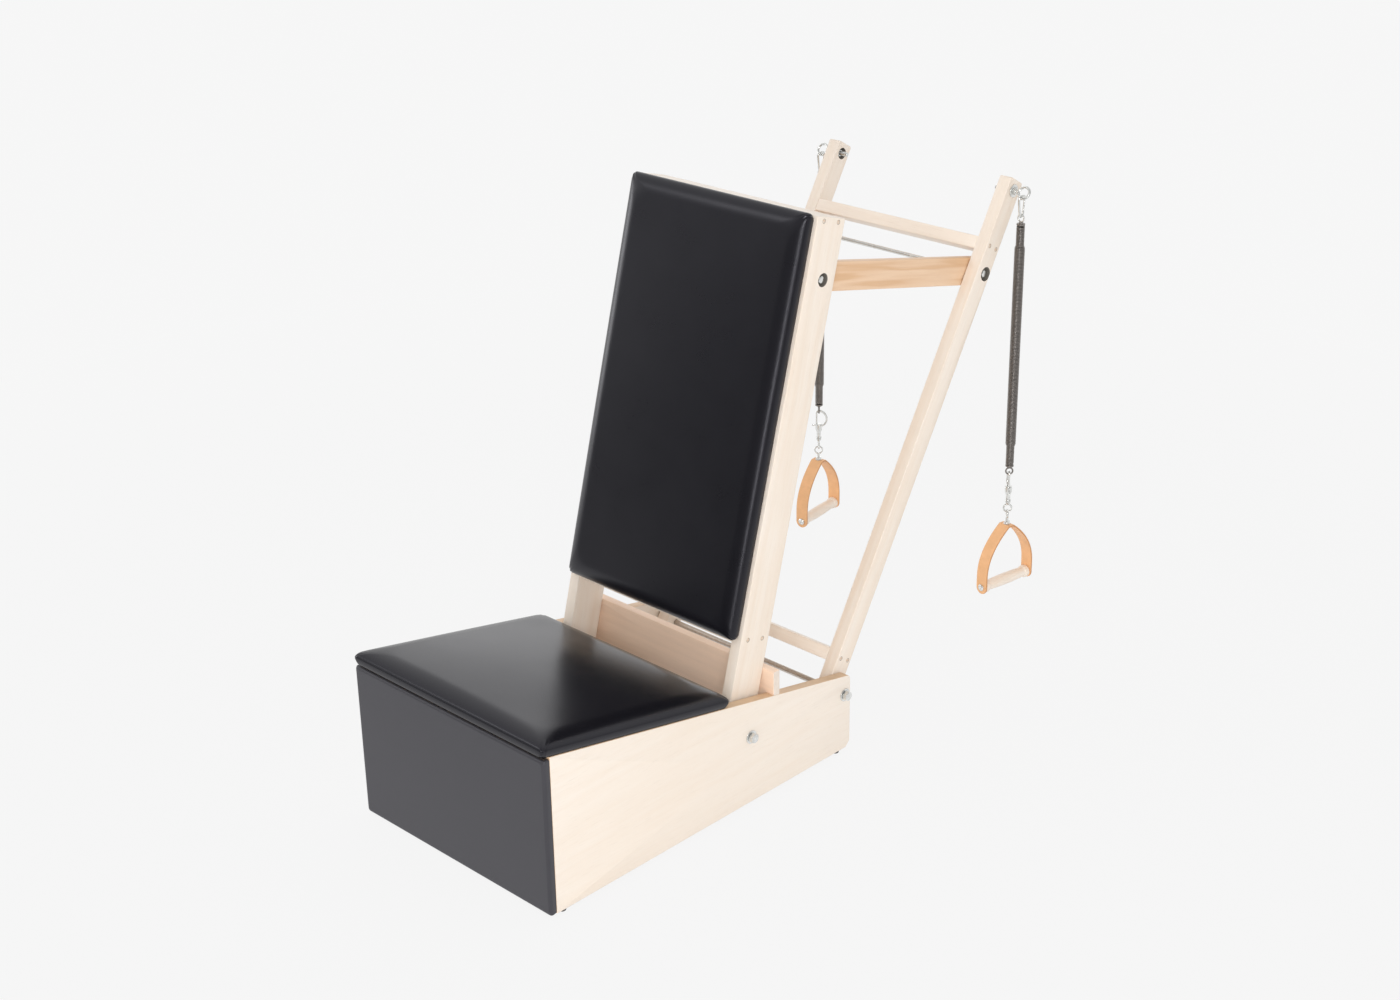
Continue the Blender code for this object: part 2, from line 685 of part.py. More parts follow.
def rear_post(side, label):
    """One post of the rear frame: the link bolt is sunk outside, the eye bolt's nut inside."""
    holes = [(0, 0, ROD_RADIUS + PIVOT_PLAY), (0, REAR_LINK_T, LINK_ROD_RADIUS + PIVOT_PLAY),
             (EYE_S, EYE_T, LINK_ROD_RADIUS + PIVOT_PLAY)]
    inner = REAR_POST_OUTER - REAR_POST_THICK
    bores = [(0, REAR_LINK_T, REAR_BORE, REAR_POST_OUTER - SUNK_DEPTH, REAR_POST_OUTER + BEYOND),
             (EYE_S, EYE_T, EYE_BORE, inner - BEYOND, inner + SUNK_DEPTH)]
    post("rear_post_" + label, side, rear, REAR_POST_OUTER, REAR_POST_THICK,
         (REAR_POST_FRONT, REAR_POST_REAR), (REAR_POST_LOW, REAR_TOP), REAR_POST_CORNER,
         holes, bores, rear_plugs)


def rear_rails():
    """Top and lower rungs of the rear frame, flush with the posts."""
    inner = REAR_POST_OUTER - REAR_POST_THICK - FIT
    half = REAR_RAIL_HEIGHT / 2
    front, back = REAR_POST_FRONT + 0.0005, REAR_POST_REAR - 0.0005
    for name, t in zip(("rear_lower_rail", "rear_top_rail"), REAR_RAIL_TS):
        board(name, (-inner, front, t - half), (inner, back, t + half), MAPLE, rear)


def wire_ring(name, radius, wire, middle=(0, 0, 0), count=12):
    """Mesh of a wire bent into a circle in the XZ plane."""
    points = ring_points(radius, middle, (1, 0, 0), (0, 0, 1), count)
    return solid_mesh(name, tube_curve(name, points, wire, True, 1))


def eye_bolt(side, label):
    """Eye bolt through the top of a rear post: ring, shank, and the washer and nut that are
    tightened on it outside. Its inner nut is sunk in the post."""
    inner = REAR_POST_OUTER - REAR_POST_THICK
    stud = 0.016
    start, end = (side * (inner - stud), 0, 0), (side * (SET_X - EYE_RING), 0, 0)
    where = (0, EYE_S, EYE_T)
    shank = cylinder_mesh("shank", LINK_ROD_RADIUS, start, end, SMALL_ROUND)
    obj = place("eye_bolt_" + label, shank, ZINC, rear, where, smooth=40)
    ring = wire_ring("ring", EYE_RING, EYE_WIRE, (side * SET_X, 0, 0), 16)
    combine(obj, cutter("eye_ring_" + label, ring, rear, where), "UNION")
    washer_x = REAR_POST_OUTER + FIT + WASHER_THICK / 2
    nut_x = washer_x + WASHER_THICK / 2 + EYE_HEX_THICK / 2 - 0.0001
    washer = washer_mesh("washer", EYE_WASHER, LINK_ROD_RADIUS / 2, WASHER_THICK)
    combine(obj, cutter("eye_washer_" + label, washer, rear, (side * washer_x, EYE_S, EYE_T)), "UNION")
    hexagon = hex_nut_mesh("hexagon", LINK_HEX, 0.0, EYE_HEX_THICK)
    combine(obj, cutter("eye_hexagon_" + label, hexagon, rear, (side * nut_x, EYE_S, EYE_T)), "UNION")
    sunk = inner + SUNK_DEPTH - FIT - EYE_HEX_THICK / 2
    nut("eye_nut_" + label, rear, side * sunk, EYE_S, EYE_T, LINK_HEX, LINK_ROD_RADIUS + PIVOT_PLAY,
        EYE_HEX_THICK)


# Heights along one hanging set, below the pivot on the eye bolt's ring
link_top = EYE_WIRE + LINK_WIRE + PLAY
link_bottom = link_top - LINK_SNAP_LENGTH
end_pivot = link_bottom
end_ring_mid = end_pivot + LINK_WIRE + END_WIRE + PLAY - END_RING
end_plate_top = end_ring_mid - END_RING - END_WIRE - PLATE_NECK
spring_top = end_plate_top - PLATE_THICK - FIT
low_plate_top = spring_top - SPRING_LENGTH - FIT
low_ring_mid = low_plate_top - PLATE_THICK - PLATE_NECK - END_WIRE - END_RING
hook_pivot = low_ring_mid - END_RING
hook_top = hook_pivot + END_WIRE + HOOK_WIRE + PLAY
swivel_ring_mid = hook_top + BARREL_BOTTOM - SWIVEL_DROP
handle_pivot = swivel_ring_mid - SWIVEL_RING
handle_ring_mid = handle_pivot + 2 * SWIVEL_WIRE + PLAY - SWIVEL_RING
strap_top = handle_ring_mid - STRAP_DROP


def set_origin(side):
    """Lowest point of the eye bolt's ring wire, where the hanging set swings."""
    low = leaning_point(rear_axis_at, REAR_LEAN, EYE_T - EYE_RING, EYE_S)
    return low + Vector((side * SET_X, 0, 0))


def side_turn(side, angle):
    """Turn about Z in degrees that is mirrored on the right side."""
    return angle if side > 0 else 180.0 - angle


def snap_link(side, label, parent):
    """Spring snap between the eye bolt and the spring: wire body and pivoting gate."""
    gate_foot = Vector((0, 0.0062, link_bottom + 0.0095))
    gate_tip = Vector((0, 0.0098, link_top - 0.0086))
    along = (gate_tip - gate_foot).normalized()
    body = [(0.0100, -0.0080), (0.0096, -0.0035), (0.0070, -0.0008), (0.0, 0.0), (-0.0070, -0.0008),
            (-0.0098, -0.0050), (-0.0096, -0.0140), (-0.0075, -0.0280), (-0.0052, -0.0405), (0.0, -0.045),
            (0.0046, -0.0420)]
    points = [(0, y, link_top + z) for y, z in body]
    points.append(tuple(gate_foot - along * 0.0024))
    curve = tube_curve("snap_link_" + label, points, LINK_WIRE, False, 1, True, 2)
    place("snap_link_" + label, solid_mesh("snap_link_" + label, curve), ZINC, parent, smooth=50)
    gate_axis = empty("gate_axis_" + label, gate_foot, parent)
    length = (gate_tip - gate_foot).length
    profile = [(0, length), (GATE_RADIUS, length), (GATE_RADIUS, 0)]
    profile += [(GATE_RADIUS * math.cos(a), -GATE_RADIUS * math.sin(a)) for a in np.radians([30, 60])]
    profile.append((0, -GATE_RADIUS))
    mesh = turned_mesh("snap_gate_" + label, profile, "Z", SMALL_ROUND)
    lean = math.degrees(math.atan2(-along.y, along.z))
    place("snap_gate_" + label, mesh, ZINC, gate_axis, (0, 0, 0), (lean, 0, 0), smooth=40)


def end_eye(name, parent, ring_mid, plate_low, turn):
    """End piece of a spring: a ring on a round plate, with a core inside the coil."""
    up = 1 if ring_mid > plate_low else -1
    faces = (plate_low, plate_low + PLATE_THICK)
    near_face, far_face = faces[::-1] if up > 0 else faces
    stem = near_face + up * 0.0042
    core = far_face - up * 0.012
    core_radius = 0.0026
    outer = [(0, stem), (0.0032, stem), (0.0045, near_face), (PLATE_RADIUS, near_face),
             (PLATE_RADIUS, far_face), (core_radius, far_face), (core_radius, core), (0, core)]
    mesh = turned_mesh(name, outer if up > 0 else outer[::-1], "Z", SMALL_ROUND)
    obj = place(name, mesh, SPRING_STEEL, parent, (0, 0, 0), (0, 0, turn), smooth=40)
    ring = wire_ring(name, END_RING, END_WIRE, (0, 0, ring_mid))
    combine(obj, cutter(name + "_ring", ring, parent, (0, 0, 0), (0, 0, turn)), "UNION")


def coil_points():
    """Centre line of a spring that hangs below its top: the coil is narrow at both ends, and
    each end turns out of the coil into a straight upright run as long as the wire is thick."""
    bend = 0.0042
    straight = 2 * SPRING_WIRE
    end_run = bend + straight
    total = SPRING_CURLS * CURL_POINTS
    coil_length = SPRING_LENGTH - 2 * end_run
    points = []
    for i in range(total + 1):
        share = i / total
        height = -end_run - share * coil_length
        from_end = min(share, 1 - share) * coil_length
        blend = min(1.0, max(0.0, (from_end + end_run - SPRING_NECK_LENGTH) / 0.008 + 0.5))
        radius = SPRING_NECK + (SPRING_BODY - SPRING_NECK) * blend
        angle = 2 * math.pi * i / CURL_POINTS
        points.append(Vector((radius * math.cos(angle), radius * math.sin(angle), height)))
    def end_bend(tip, inner, up):
        """Quarter bend from the coil's tangent to the upright, then the straight run."""
        tangent = (tip - inner)
        tangent.z = 0
        tangent.normalize()
        run = []
        for a in (30, 60, 90):
            run.append(tip + tangent * bend * math.sin(math.radians(a))
                       + Vector((0, 0, up * bend * (1 - math.cos(math.radians(a))))))
        run.append(run[-1] + Vector((0, 0, up * straight)))
        return run
    head = end_bend(points[0], points[1], 1)
    tail = end_bend(points[-1], points[-2], -1)
    return head[::-1] + points + tail


def least_gap(points, wire_radius):
    """Smallest clear distance of the coil to itself, between stretches over half a curl apart."""
    spots = np.array([list(p) for p in points])
    middles = (spots[:-1] + spots[1:]) / 2
    spots = np.concatenate([spots, middles])
    order = np.concatenate([np.arange(len(points)), np.arange(len(middles)) + 0.5])
    apart = np.linalg.norm(spots[:, None] - spots[None], axis=2)
    away = np.abs(order[:, None] - order[None]) > CURL_POINTS / 2
    return float(apart[away].min() - 2 * wire_radius)


def spring(side, label, parent):
    """Coil spring between its two end pieces."""
    points = coil_points()
    if side < 0:
        points = [Vector((-p.x, p.y, p.z)) for p in points]
    curve = tube_curve("spring_" + label, points, SPRING_WIRE, False, 1)
    mesh = solid_mesh("spring_" + label, curve)
    place("spring_" + label, mesh, SPRING_STEEL, parent, (0, 0, spring_top - end_pivot), smooth=60)
    print("least gap of spring_" + label, round(least_gap(points, SPRING_WIRE) * 1000, 2), "mm")


def snap_hook(label, parent, turn):
    """Swivel snap: hooked body with a thumb bolt that closes it. Heights run from the hook's top."""
    path = [(0.0045, -0.0400), (0.0130, -0.0350), (0.0188, -0.0245), (0.0165, -0.0120),
            (0.0105, -0.0040), (0.0030, 0.0), (-0.0024, -0.0004), (-0.0053, -0.0048),
            (THUMB_U, -0.0080)]
    where = ((0, 0, hook_top - hook_pivot), (0, 0, turn))
    waist, foot = 0.0050, 0.0068
    profile = [(0, BARREL_TOP), (0.75 * BARREL_RADIUS, BARREL_TOP), (BARREL_RADIUS, BARREL_TOP - 0.0020),
               (BARREL_RADIUS, BARREL_TOP - 0.0140), (waist, BARREL_TOP - 0.0220),
               (waist, BARREL_BOTTOM + 0.0040), (foot, BARREL_BOTTOM + 0.0030), (foot, BARREL_BOTTOM),
               (0, BARREL_BOTTOM)]
    name = "snap_hook_" + label
    obj = place(name, turned_mesh(name, profile, "Z", SMALL_ROUND), ZINC, parent, *where, smooth=40)
    hook = tube_curve("hook", [(u, 0, z) for u, z in path], HOOK_WIRE, False, 1, True, 2)
    combine(obj, cutter("hook_wire_" + label, solid_mesh("hook", hook), parent, *where), "UNION")
    thumb_bore = cylinder_mesh("thumb_bore", THUMB_RADIUS + FIT, (THUMB_U, 0, BARREL_TOP + 0.002),
                               (THUMB_U, 0, BARREL_TOP - 0.0200), SMALL_ROUND)
    combine(obj, cutter("thumb_bore_" + label, thumb_bore, parent, *where), "DIFFERENCE")
    slot = box_mesh("lever_slot", (-1.5 * BARREL_RADIUS, -LEVER_RADIUS - PLAY, BARREL_TOP - 0.0130),
                    (THUMB_U, LEVER_RADIUS + PLAY, BARREL_TOP - 0.0015))
    combine(obj, cutter("lever_slot_" + label, slot, parent, *where), "DIFFERENCE")
    stem_hole = cylinder_mesh("stem_hole", SWIVEL_STEM + PLAY, (0, 0, BARREL_BOTTOM - 0.002),
                              (0, 0, BARREL_BOTTOM + 0.011), SMALL_ROUND)
    combine(obj, cutter("stem_hole_" + label, stem_hole, parent, *where), "DIFFERENCE")
    snap_bolt(label, parent, where)


def snap_bolt(label, parent, where):
    """Thumb bolt that closes the snap: pin, lever and knob."""
    start, end = (THUMB_U, 0, BARREL_TOP - 0.0110), (THUMB_U, 0, -0.0084)
    pin = cylinder_mesh("pin", THUMB_RADIUS, start, end, SMALL_ROUND)
    obj = place("snap_bolt_" + label, pin, ZINC, parent, *where, smooth=40)
    z = BARREL_TOP - 0.0032
    knob_at = -0.0125
    lever = cylinder_mesh("lever", LEVER_RADIUS, (THUMB_U, 0, z), (knob_at - 0.0025, 0, z), 10)
    combine(obj, cutter("lever_" + label, lever, parent, *where), "UNION")
    knob = cylinder_mesh("knob", 2 * LEVER_RADIUS, (knob_at, 0, z), (knob_at - 0.004, 0, z), SMALL_ROUND,
                         1.5 * LEVER_RADIUS)
    combine(obj, cutter("knob_" + label, knob, parent, *where), "UNION")


def snap_swivel(label, parent, turn):
    """Swivelling eye under the snap: ring, collar and stem."""
    ring_mid = swivel_ring_mid - hook_pivot
    barrel_end = hook_top - hook_pivot + BARREL_BOTTOM
    collar_low = ring_mid + SWIVEL_RING
    collar = 0.0062
    profile = [(0, barrel_end + 0.010), (SWIVEL_STEM, barrel_end + 0.010), (SWIVEL_STEM, barrel_end - PLAY),
               (collar, barrel_end - PLAY), (collar, barrel_end - 0.0035), (0.55 * collar, collar_low),
               (0, collar_low)]
    name = "snap_swivel_" + label
    where = ((0, 0, 0), (0, 0, turn))
    obj = place(name, turned_mesh(name, profile, "Z", SMALL_ROUND), ZINC, parent, *where, smooth=40)
    ring = wire_ring("swivel", SWIVEL_RING, SWIVEL_WIRE, (0, 0, ring_mid))
    combine(obj, cutter("swivel_ring_" + label, ring, parent, *where), "UNION")


def strap_path(count=7):
    """Half of the strap's middle line from its top to its end, as (out, down)."""
    reach = GRIP_LENGTH / 2 + FIT + STRAP_THICK / 2
    flat = 0.0075
    fall = GRIP_DROP - 0.022
    points = [(0.0, 0.0)]
    for i in range(count):
        down = (i / (count - 1)) ** 1.5 * fall
        points.append((flat + (reach - flat) * (1 - (1 - down / fall) ** 2.3), down))
    points += [(reach, GRIP_DROP + past) for past in (-0.006, 0.004, 0.011, STRAP_WIDTH / 2)]
    return points


def strap(label, parent, z_top, turn):
    """Leather strap bent over the eye bolt, with rounded ends and holes for bolt and pin."""
    half = STRAP_WIDTH / 2
    side = strap_path()
    reach = side[-1][0]
    path = [(-out, down) for out, down in reversed(side[1:])] + side
    bm = bmesh.new()
    rows = len(path) - 1
    bmesh.ops.create_grid(bm, x_segments=2, y_segments=rows, size=0.5)
    for vert in bm.verts:
        out, down = path[round((vert.co.y + 0.5) * rows)]
        past = max(0.0, down - GRIP_DROP)
        width = half * math.sqrt(max(0.06, 1 - (past / half) ** 2))
        vert.co = Vector((2 * vert.co.x * width, out, -down))
    mesh = bpy.data.meshes.new("strap_" + label)
    bm.to_mesh(mesh)
    bm.free()
    where = ((0, 0, z_top - STRAP_THICK / 2), (0, 0, turn))
    obj = place("strap_" + label, mesh, LEATHER, parent, *where, smooth=60)
    shell = obj.modifiers.new("leather", "SOLIDIFY")
    shell.thickness = STRAP_THICK
    shell.offset = 0.0
    shell.use_even_offset = True
    hole = cylinder_mesh("hole", HANDLE_SHANK + PLAY, (0, 0, -BEYOND), (0, 0, BEYOND), SMALL_ROUND)
    combine(obj, cutter("strap_hole_" + label, hole, parent, *where), "DIFFERENCE")
    for sign in (1, -1):
        start, end = (0, sign * (reach - BEYOND), -GRIP_DROP), (0, sign * (reach + BEYOND), -GRIP_DROP)
        pin = cylinder_mesh("pin_hole", GRIP_PIN_RADIUS + FIT, start, end, SMALL_ROUND)
        combine(obj, cutter("pin_hole_" + label, pin, parent, *where), "DIFFERENCE")


def handle_eye(label, parent, z_top, ring_mid, turn):
    """Eye bolt of a handle: ring, collar on the strap, shank and a nut under it."""
    low = z_top - STRAP_THICK
    nut_low = low - 0.0060
    profile = [(0, ring_mid - SWIVEL_RING), (0.0034, ring_mid - SWIVEL_RING), (0.0034, z_top + 0.0075),
               (HANDLE_NUT, z_top + 0.0070), (HANDLE_NUT + 0.001, z_top + FIT), (HANDLE_SHANK, z_top + FIT),
               (HANDLE_SHANK, low - FIT), (HANDLE_NUT, low - FIT), (HANDLE_NUT, nut_low),
               (HANDLE_SHANK, nut_low), (HANDLE_SHANK, nut_low - 0.0025), (0, nut_low - 0.0025)]
    name = "handle_eye_" + label
    where = ((0, 0, 0), (0, 0, turn))
    obj = place(name, turned_mesh(name, profile, "Z", SMALL_ROUND), ZINC, parent, *where, smooth=40)
    ring = wire_ring("eye", SWIVEL_RING, SWIVEL_WIRE, (0, 0, ring_mid))
    combine(obj, cutter("handle_ring_" + label, ring, parent, *where), "UNION")


def grip(label, parent):
    """Turned wooden grip with collars, bored for its pin. Its axis is the parent's Y."""
    half = GRIP_LENGTH / 2
    bore = GRIP_PIN_RADIUS + FIT
    groove = 0.8 * GRIP_RADIUS
    side = [(0.9 * GRIP_RADIUS, half), (GRIP_RADIUS, half - 0.002), (GRIP_RADIUS, half - 0.011),
            (groove, half - 0.0135), (0.93 * GRIP_RADIUS, half - 0.045)]
    profile = [(bore, half)] + side + [(r, -z) for r, z in reversed(side)] + [(bore, -half)]
    place("grip_" + label, turned_mesh("grip_" + label, profile, "Y", 14), MAPLE, parent, smooth=50)


def grip_pin(label, parent):
    """Pin through the grip, with a flat round head outside each leg of the strap."""
    reach = GRIP_LENGTH / 2 + 2 * FIT + STRAP_THICK + 0.0001
    head = 0.0080
    side = [(0.75 * head, reach + 0.0030), (head, reach + 0.0015), (head, reach), (GRIP_PIN_RADIUS, reach)]
    profile = [(0, reach + 0.0030)] + side + [(r, -z) for r, z in reversed(side)] + [(0, -reach - 0.0030)]
    name = "grip_pin_" + label
    place(name, turned_mesh(name, profile, "Y", SMALL_ROUND), ZINC, parent, smooth=40)


def hanging_set(side, label):
    """Everything that hangs from one eye bolt, one empty on each joint axis."""
    swing = empty("set_swing_" + label, set_origin(side))
    snap_link(side, label, swing)
    sway = empty("spring_sway_" + label, (0, 0, end_pivot), swing)
    plate_low = end_plate_top - PLATE_THICK
    end_eye("spring_top_eye_" + label, sway, end_ring_mid - end_pivot, plate_low - end_pivot, 0)
    spring(side, label, sway)
    stretch = empty("spring_end_" + label, (0, 0, hook_pivot - end_pivot), sway)
    hook_turn = side_turn(side, 135)
    plate_low = low_plate_top - PLATE_THICK
    end_eye("spring_end_eye_" + label, stretch, low_ring_mid - hook_pivot, plate_low - hook_pivot,
            hook_turn + 90)
    snap_hook(label, stretch, hook_turn)
    snap_swivel(label, stretch, hook_turn + 90)
    hang = empty("handle_swing_" + label, (0, 0, handle_pivot - hook_pivot), stretch)
    z_top = strap_top - handle_pivot
    turn = -side * HANDLE_TURN
    handle_eye(label, hang, z_top, handle_ring_mid - handle_pivot, hook_turn)
    strap(label, hang, z_top, turn)
    roll = empty("grip_roll_" + label, (0, 0, z_top - STRAP_THICK / 2 - GRIP_DROP), hang, (0, 0, turn))
    grip(label, roll)
    grip_pin(label, roll)


both_sides(side_panel)
front_board_and_pad()
seat()
stop_board()
base_pivots()
both_sides(back_post)
back_frame()
link_bolt("back_link", backrest, BACK_LINK_T, BACK_POST_OUTER)
both_sides(link_bar)
both_sides(rear_post)
rear_rails()
link_bolt("rear_link", rear, REAR_LINK_T, REAR_POST_OUTER)
both_sides(eye_bolt)
both_sides(hanging_set)
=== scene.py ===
"""Pilates arm chair: its upholstery, wood, fittings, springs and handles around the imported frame.

Metres, +Z up, the sitter faces -Y and +X is the sitter's left. Each shape is worked out as whole
arrays of points. Leaning parts are worked out in their own frame, where s runs backwards through
the depth of a post and t runs up along it from its pivot.
"""
import json
import math

import bmesh
import bpy
import numpy as np
from bpy.props import FloatProperty, FloatVectorProperty, IntProperty, PointerProperty
from mathutils import Matrix, Vector


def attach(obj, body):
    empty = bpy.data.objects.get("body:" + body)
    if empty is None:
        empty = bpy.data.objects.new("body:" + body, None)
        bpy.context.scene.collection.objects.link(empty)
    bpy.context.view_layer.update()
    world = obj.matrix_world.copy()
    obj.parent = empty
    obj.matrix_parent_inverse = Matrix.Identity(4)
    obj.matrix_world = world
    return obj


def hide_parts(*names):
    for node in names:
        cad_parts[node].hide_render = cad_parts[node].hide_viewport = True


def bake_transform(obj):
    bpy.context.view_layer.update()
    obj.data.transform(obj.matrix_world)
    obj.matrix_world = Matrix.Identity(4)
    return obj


bl_info = {
    "name": "Pilates arm chair",
    "version": (1, 0, 0),
    "blender": (4, 5, 0),
    "location": "View3D > Sidebar > Arm Chair",
    "description": "Builds the looks of a pilates arm chair around its packed frame",
    "category": "Object",
}

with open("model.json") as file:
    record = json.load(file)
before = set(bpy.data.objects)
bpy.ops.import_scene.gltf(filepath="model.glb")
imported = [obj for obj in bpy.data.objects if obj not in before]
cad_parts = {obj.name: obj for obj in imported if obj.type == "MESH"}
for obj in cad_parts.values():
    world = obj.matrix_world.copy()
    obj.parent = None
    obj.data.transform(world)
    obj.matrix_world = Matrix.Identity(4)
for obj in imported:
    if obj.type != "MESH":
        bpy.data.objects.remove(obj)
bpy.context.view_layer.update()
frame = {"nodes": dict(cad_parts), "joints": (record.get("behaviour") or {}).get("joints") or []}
JOINTS = {joint["name"]: Vector(joint["pos_m"]) for joint in frame["joints"] if "pos_m" in joint}
SIDES = (("left", 1), ("right", -1))

# Base
PANEL_THICK, PANEL_INNER, HALF_WIDTH = 0.022, 0.258, 0.28
PANEL_FRONT_TOP, PANEL_REAR_TOP, PANEL_CORNER = 0.3498, 0.1793, 0.013
FRONT_Y, BASE_DEPTH, FLOOR_GAP = -0.7463, 0.875, 0.0066
FRONT_THICK, FRONT_HEIGHT = 0.0173, 0.3455
SEAT_SLOPE = math.atan2(PANEL_FRONT_TOP - PANEL_REAR_TOP, BASE_DEPTH - FRONT_THICK)
SEAT_LENGTH, SEAT_EDGE = 0.5095, 0.031
STOP_FRONT, STOP_THICK = 0.6313, 0.0185
STOP_TOP, STOP_LOW, EAR_LOW = 0.2812, 0.172, 0.2

# Backrest and rear frame, in their own frames
BACK_LEAN, REAR_LEAN = 15.2, 30.4
BACK_OUTER, BACK_THICK = 0.2504, 0.026
BACK_INNER = BACK_OUTER - BACK_THICK
BACK_EDGES = (-0.049, 0.035)
BACK_ENDS = (-0.045, 1.0634)
BACK_LINK_T = 0.94
BACK_RAIL = 0.02
BACK_RAIL_TS = (BACK_ENDS[1] - BACK_RAIL / 2, 0.201)
BACK_CUSHION = (0.199, 1.0665)
BACK_CUSHION_HALF, BACK_CUSHION_THICK = 0.243, 0.038
BACK_PLUGS = [(s, t) for t in (0.201, BACK_ENDS[1] - 0.0085) for s in (-0.029, 0.015)]
REAR_OUTER, REAR_THICK = 0.2538, 0.0295
REAR_INNER = REAR_OUTER - REAR_THICK
REAR_EDGES = (-0.0315, 0.016)
REAR_ENDS = (-0.03, 1.156)
REAR_LINK_T = 0.946
REAR_RAIL = 0.027
REAR_RAIL_TS = (0.07, 1.0035)
REAR_PLUGS = [(s, t) for t in REAR_RAIL_TS for s in (-0.0205, 0.005)]
EYE_S, EYE_T = -0.008, 1.132
PLUG_RADIUS, PLUG_SUNK = 0.0042, 0.0005
SUNK = 0.0115
BACK_BORE, REAR_BORE, EYE_BORE = 0.0135, 0.015, 0.0125
CORNER_EASE, RAIL_SETBACK = 0.0026, 0.0005

# Link bars
LINK_OUTER, LINK_THICK, LINK_HEIGHT = 0.2225, 0.019, 0.06
OPEN_PIVOT_PLAY = 0.0017

# Bolts and nuts, with the width of a hexagon across its corners
PIVOTS = (("back_pivot", "backrest_fold"), ("rear_pivot", "rear_frame_fold"))
PIVOT_ROD, LINK_ROD, PLAY = 0.00635, 0.00475, 0.0003
PIVOT_NUT, LINK_NUT, HANDLE_NUT = 0.0219, 0.0165, 0.014
PIVOT_PITCH, LINK_PITCH, THREAD_DEPTH = 0.0016, 0.0014, 0.00035
WASHER_THICK, PIVOT_WASHER, EYE_WASHER = 0.002, 0.0145, 0.014
BOLT_PROUD = 0.0015
BORE_FLARE, BORE_REACH = 0.0006, 0.004

# Hanging sets, measured down from the lowest wire of the eye bolt's ring
SET_X = 0.282
EYE_RING, EYE_WIRE = 0.013, 0.003
LINK_WIRE, LINK_TOP, LINK_LOW = 0.0025, 0.0059, -0.0391
END_RING, END_WIRE, END_PLATE = 0.0077, 0.0018, 0.004
SPRING_LENGTH, SPRING_NECK = 0.553, 0.046
HOOK_WIRE, RING_GAP = 0.0026, 0.0004
BARREL_TOP, BARREL_LOW = -0.033, -0.07
SWIVEL_RING, SWIVEL_WIRE, SWIVEL_DROP = 0.009, 0.002, 0.0175
STRAP_THICK, STRAP_WIDTH, STRAP_DROP = 0.004, 0.031, 0.0255
GRIP_LENGTH, GRIP_DROP, GRIP_PIN = 0.139, 0.136, 0.003
HANDLE_TURN = 8.0


def at(x=0.0, y=0.0, z=0.0):
    """Frame shifted by three lengths."""
    return Matrix.Translation((x, y, z))


def spun(degrees, axis):
    """Frame turned about one axis."""
    return Matrix.Rotation(math.radians(degrees), 4, axis)


def leaning(origin, lean):
    """Frame at a point, tipped backwards by degrees."""
    return at(*origin) @ spun(-lean, "X")


def upright(origin, turn=0.0):
    """Frame at a point, turned about the vertical by degrees."""
    return at(*origin) @ spun(turn, "Z")


YZ = Matrix(((0, 0, 1, 0), (1, 0, 0, 0), (0, 1, 0, 0), (0, 0, 0, 1)))
XZ, TO_X, TO_Y = spun(90, "X"), spun(90, "Y"), spun(-90, "X")
BASE = at(0, FRONT_Y)
SEAT = BASE @ leaning((0, 0, PANEL_FRONT_TOP + FRONT_THICK * math.tan(SEAT_SLOPE)), math.degrees(SEAT_SLOPE))
BACK = leaning(JOINTS["backrest_fold"], BACK_LEAN)
REAR = leaning(JOINTS["rear_frame_fold"], REAR_LEAN)
LINK_START = BACK @ Vector((0, 0, BACK_LINK_T))
LINK_RUN = REAR @ Vector((0, 0, REAR_LINK_T)) - LINK_START
LINK_FALL = math.degrees(math.atan2(-LINK_RUN.z, LINK_RUN.y))
LINKS = leaning(LINK_START, LINK_FALL)


# Shapes: each is an array of points and an array of four-cornered faces

def skin(grid, wrap_rows=False, wrap_columns=True):
    """Surface of a grid of points: each face joins a point to the next row and the next column."""
    index = np.arange(grid.shape[0] * grid.shape[1]).reshape(grid.shape[:2])
    index = np.pad(index, ((0, int(wrap_rows)), (0, int(wrap_columns))), "wrap")
    corners = (index[:-1, :-1], index[:-1, 1:], index[1:, 1:], index[1:, :-1])
    return grid.reshape(-1, 3), np.stack(corners, axis=-1).reshape(-1, 4)


def joined(*shapes):
    """Several shapes as one: the points follow each other and the faces count on."""
    points, faces = zip(*shapes)
    starts = np.cumsum([0] + [len(p) for p in points[:-1]])
    return np.concatenate(points), np.concatenate([f + start for f, start in zip(faces, starts)])


def moved(shape, matrix):
    """A shape in a new place: its points are turned by the matrix and then shifted."""
    points, faces = shape
    return points @ np.array(matrix.to_3x3()).T + np.array(matrix.translation), faces


def unit(vectors):
    """Each vector over its own length."""
    return vectors / np.maximum(np.linalg.norm(vectors, axis=-1, keepdims=True), 1e-12)


def circle(count):
    """Angles spaced evenly all round."""
    return np.linspace(0, 2 * math.pi, count, endpoint=False)


def arc(centre, radius, start, end, count=40):
    """Points of an arc in degrees: centre + radius (cos a, sin a)."""
    a = np.radians(np.linspace(start, end, count))
    return np.asarray(centre) + radius * np.stack([np.cos(a), np.sin(a)], axis=1)


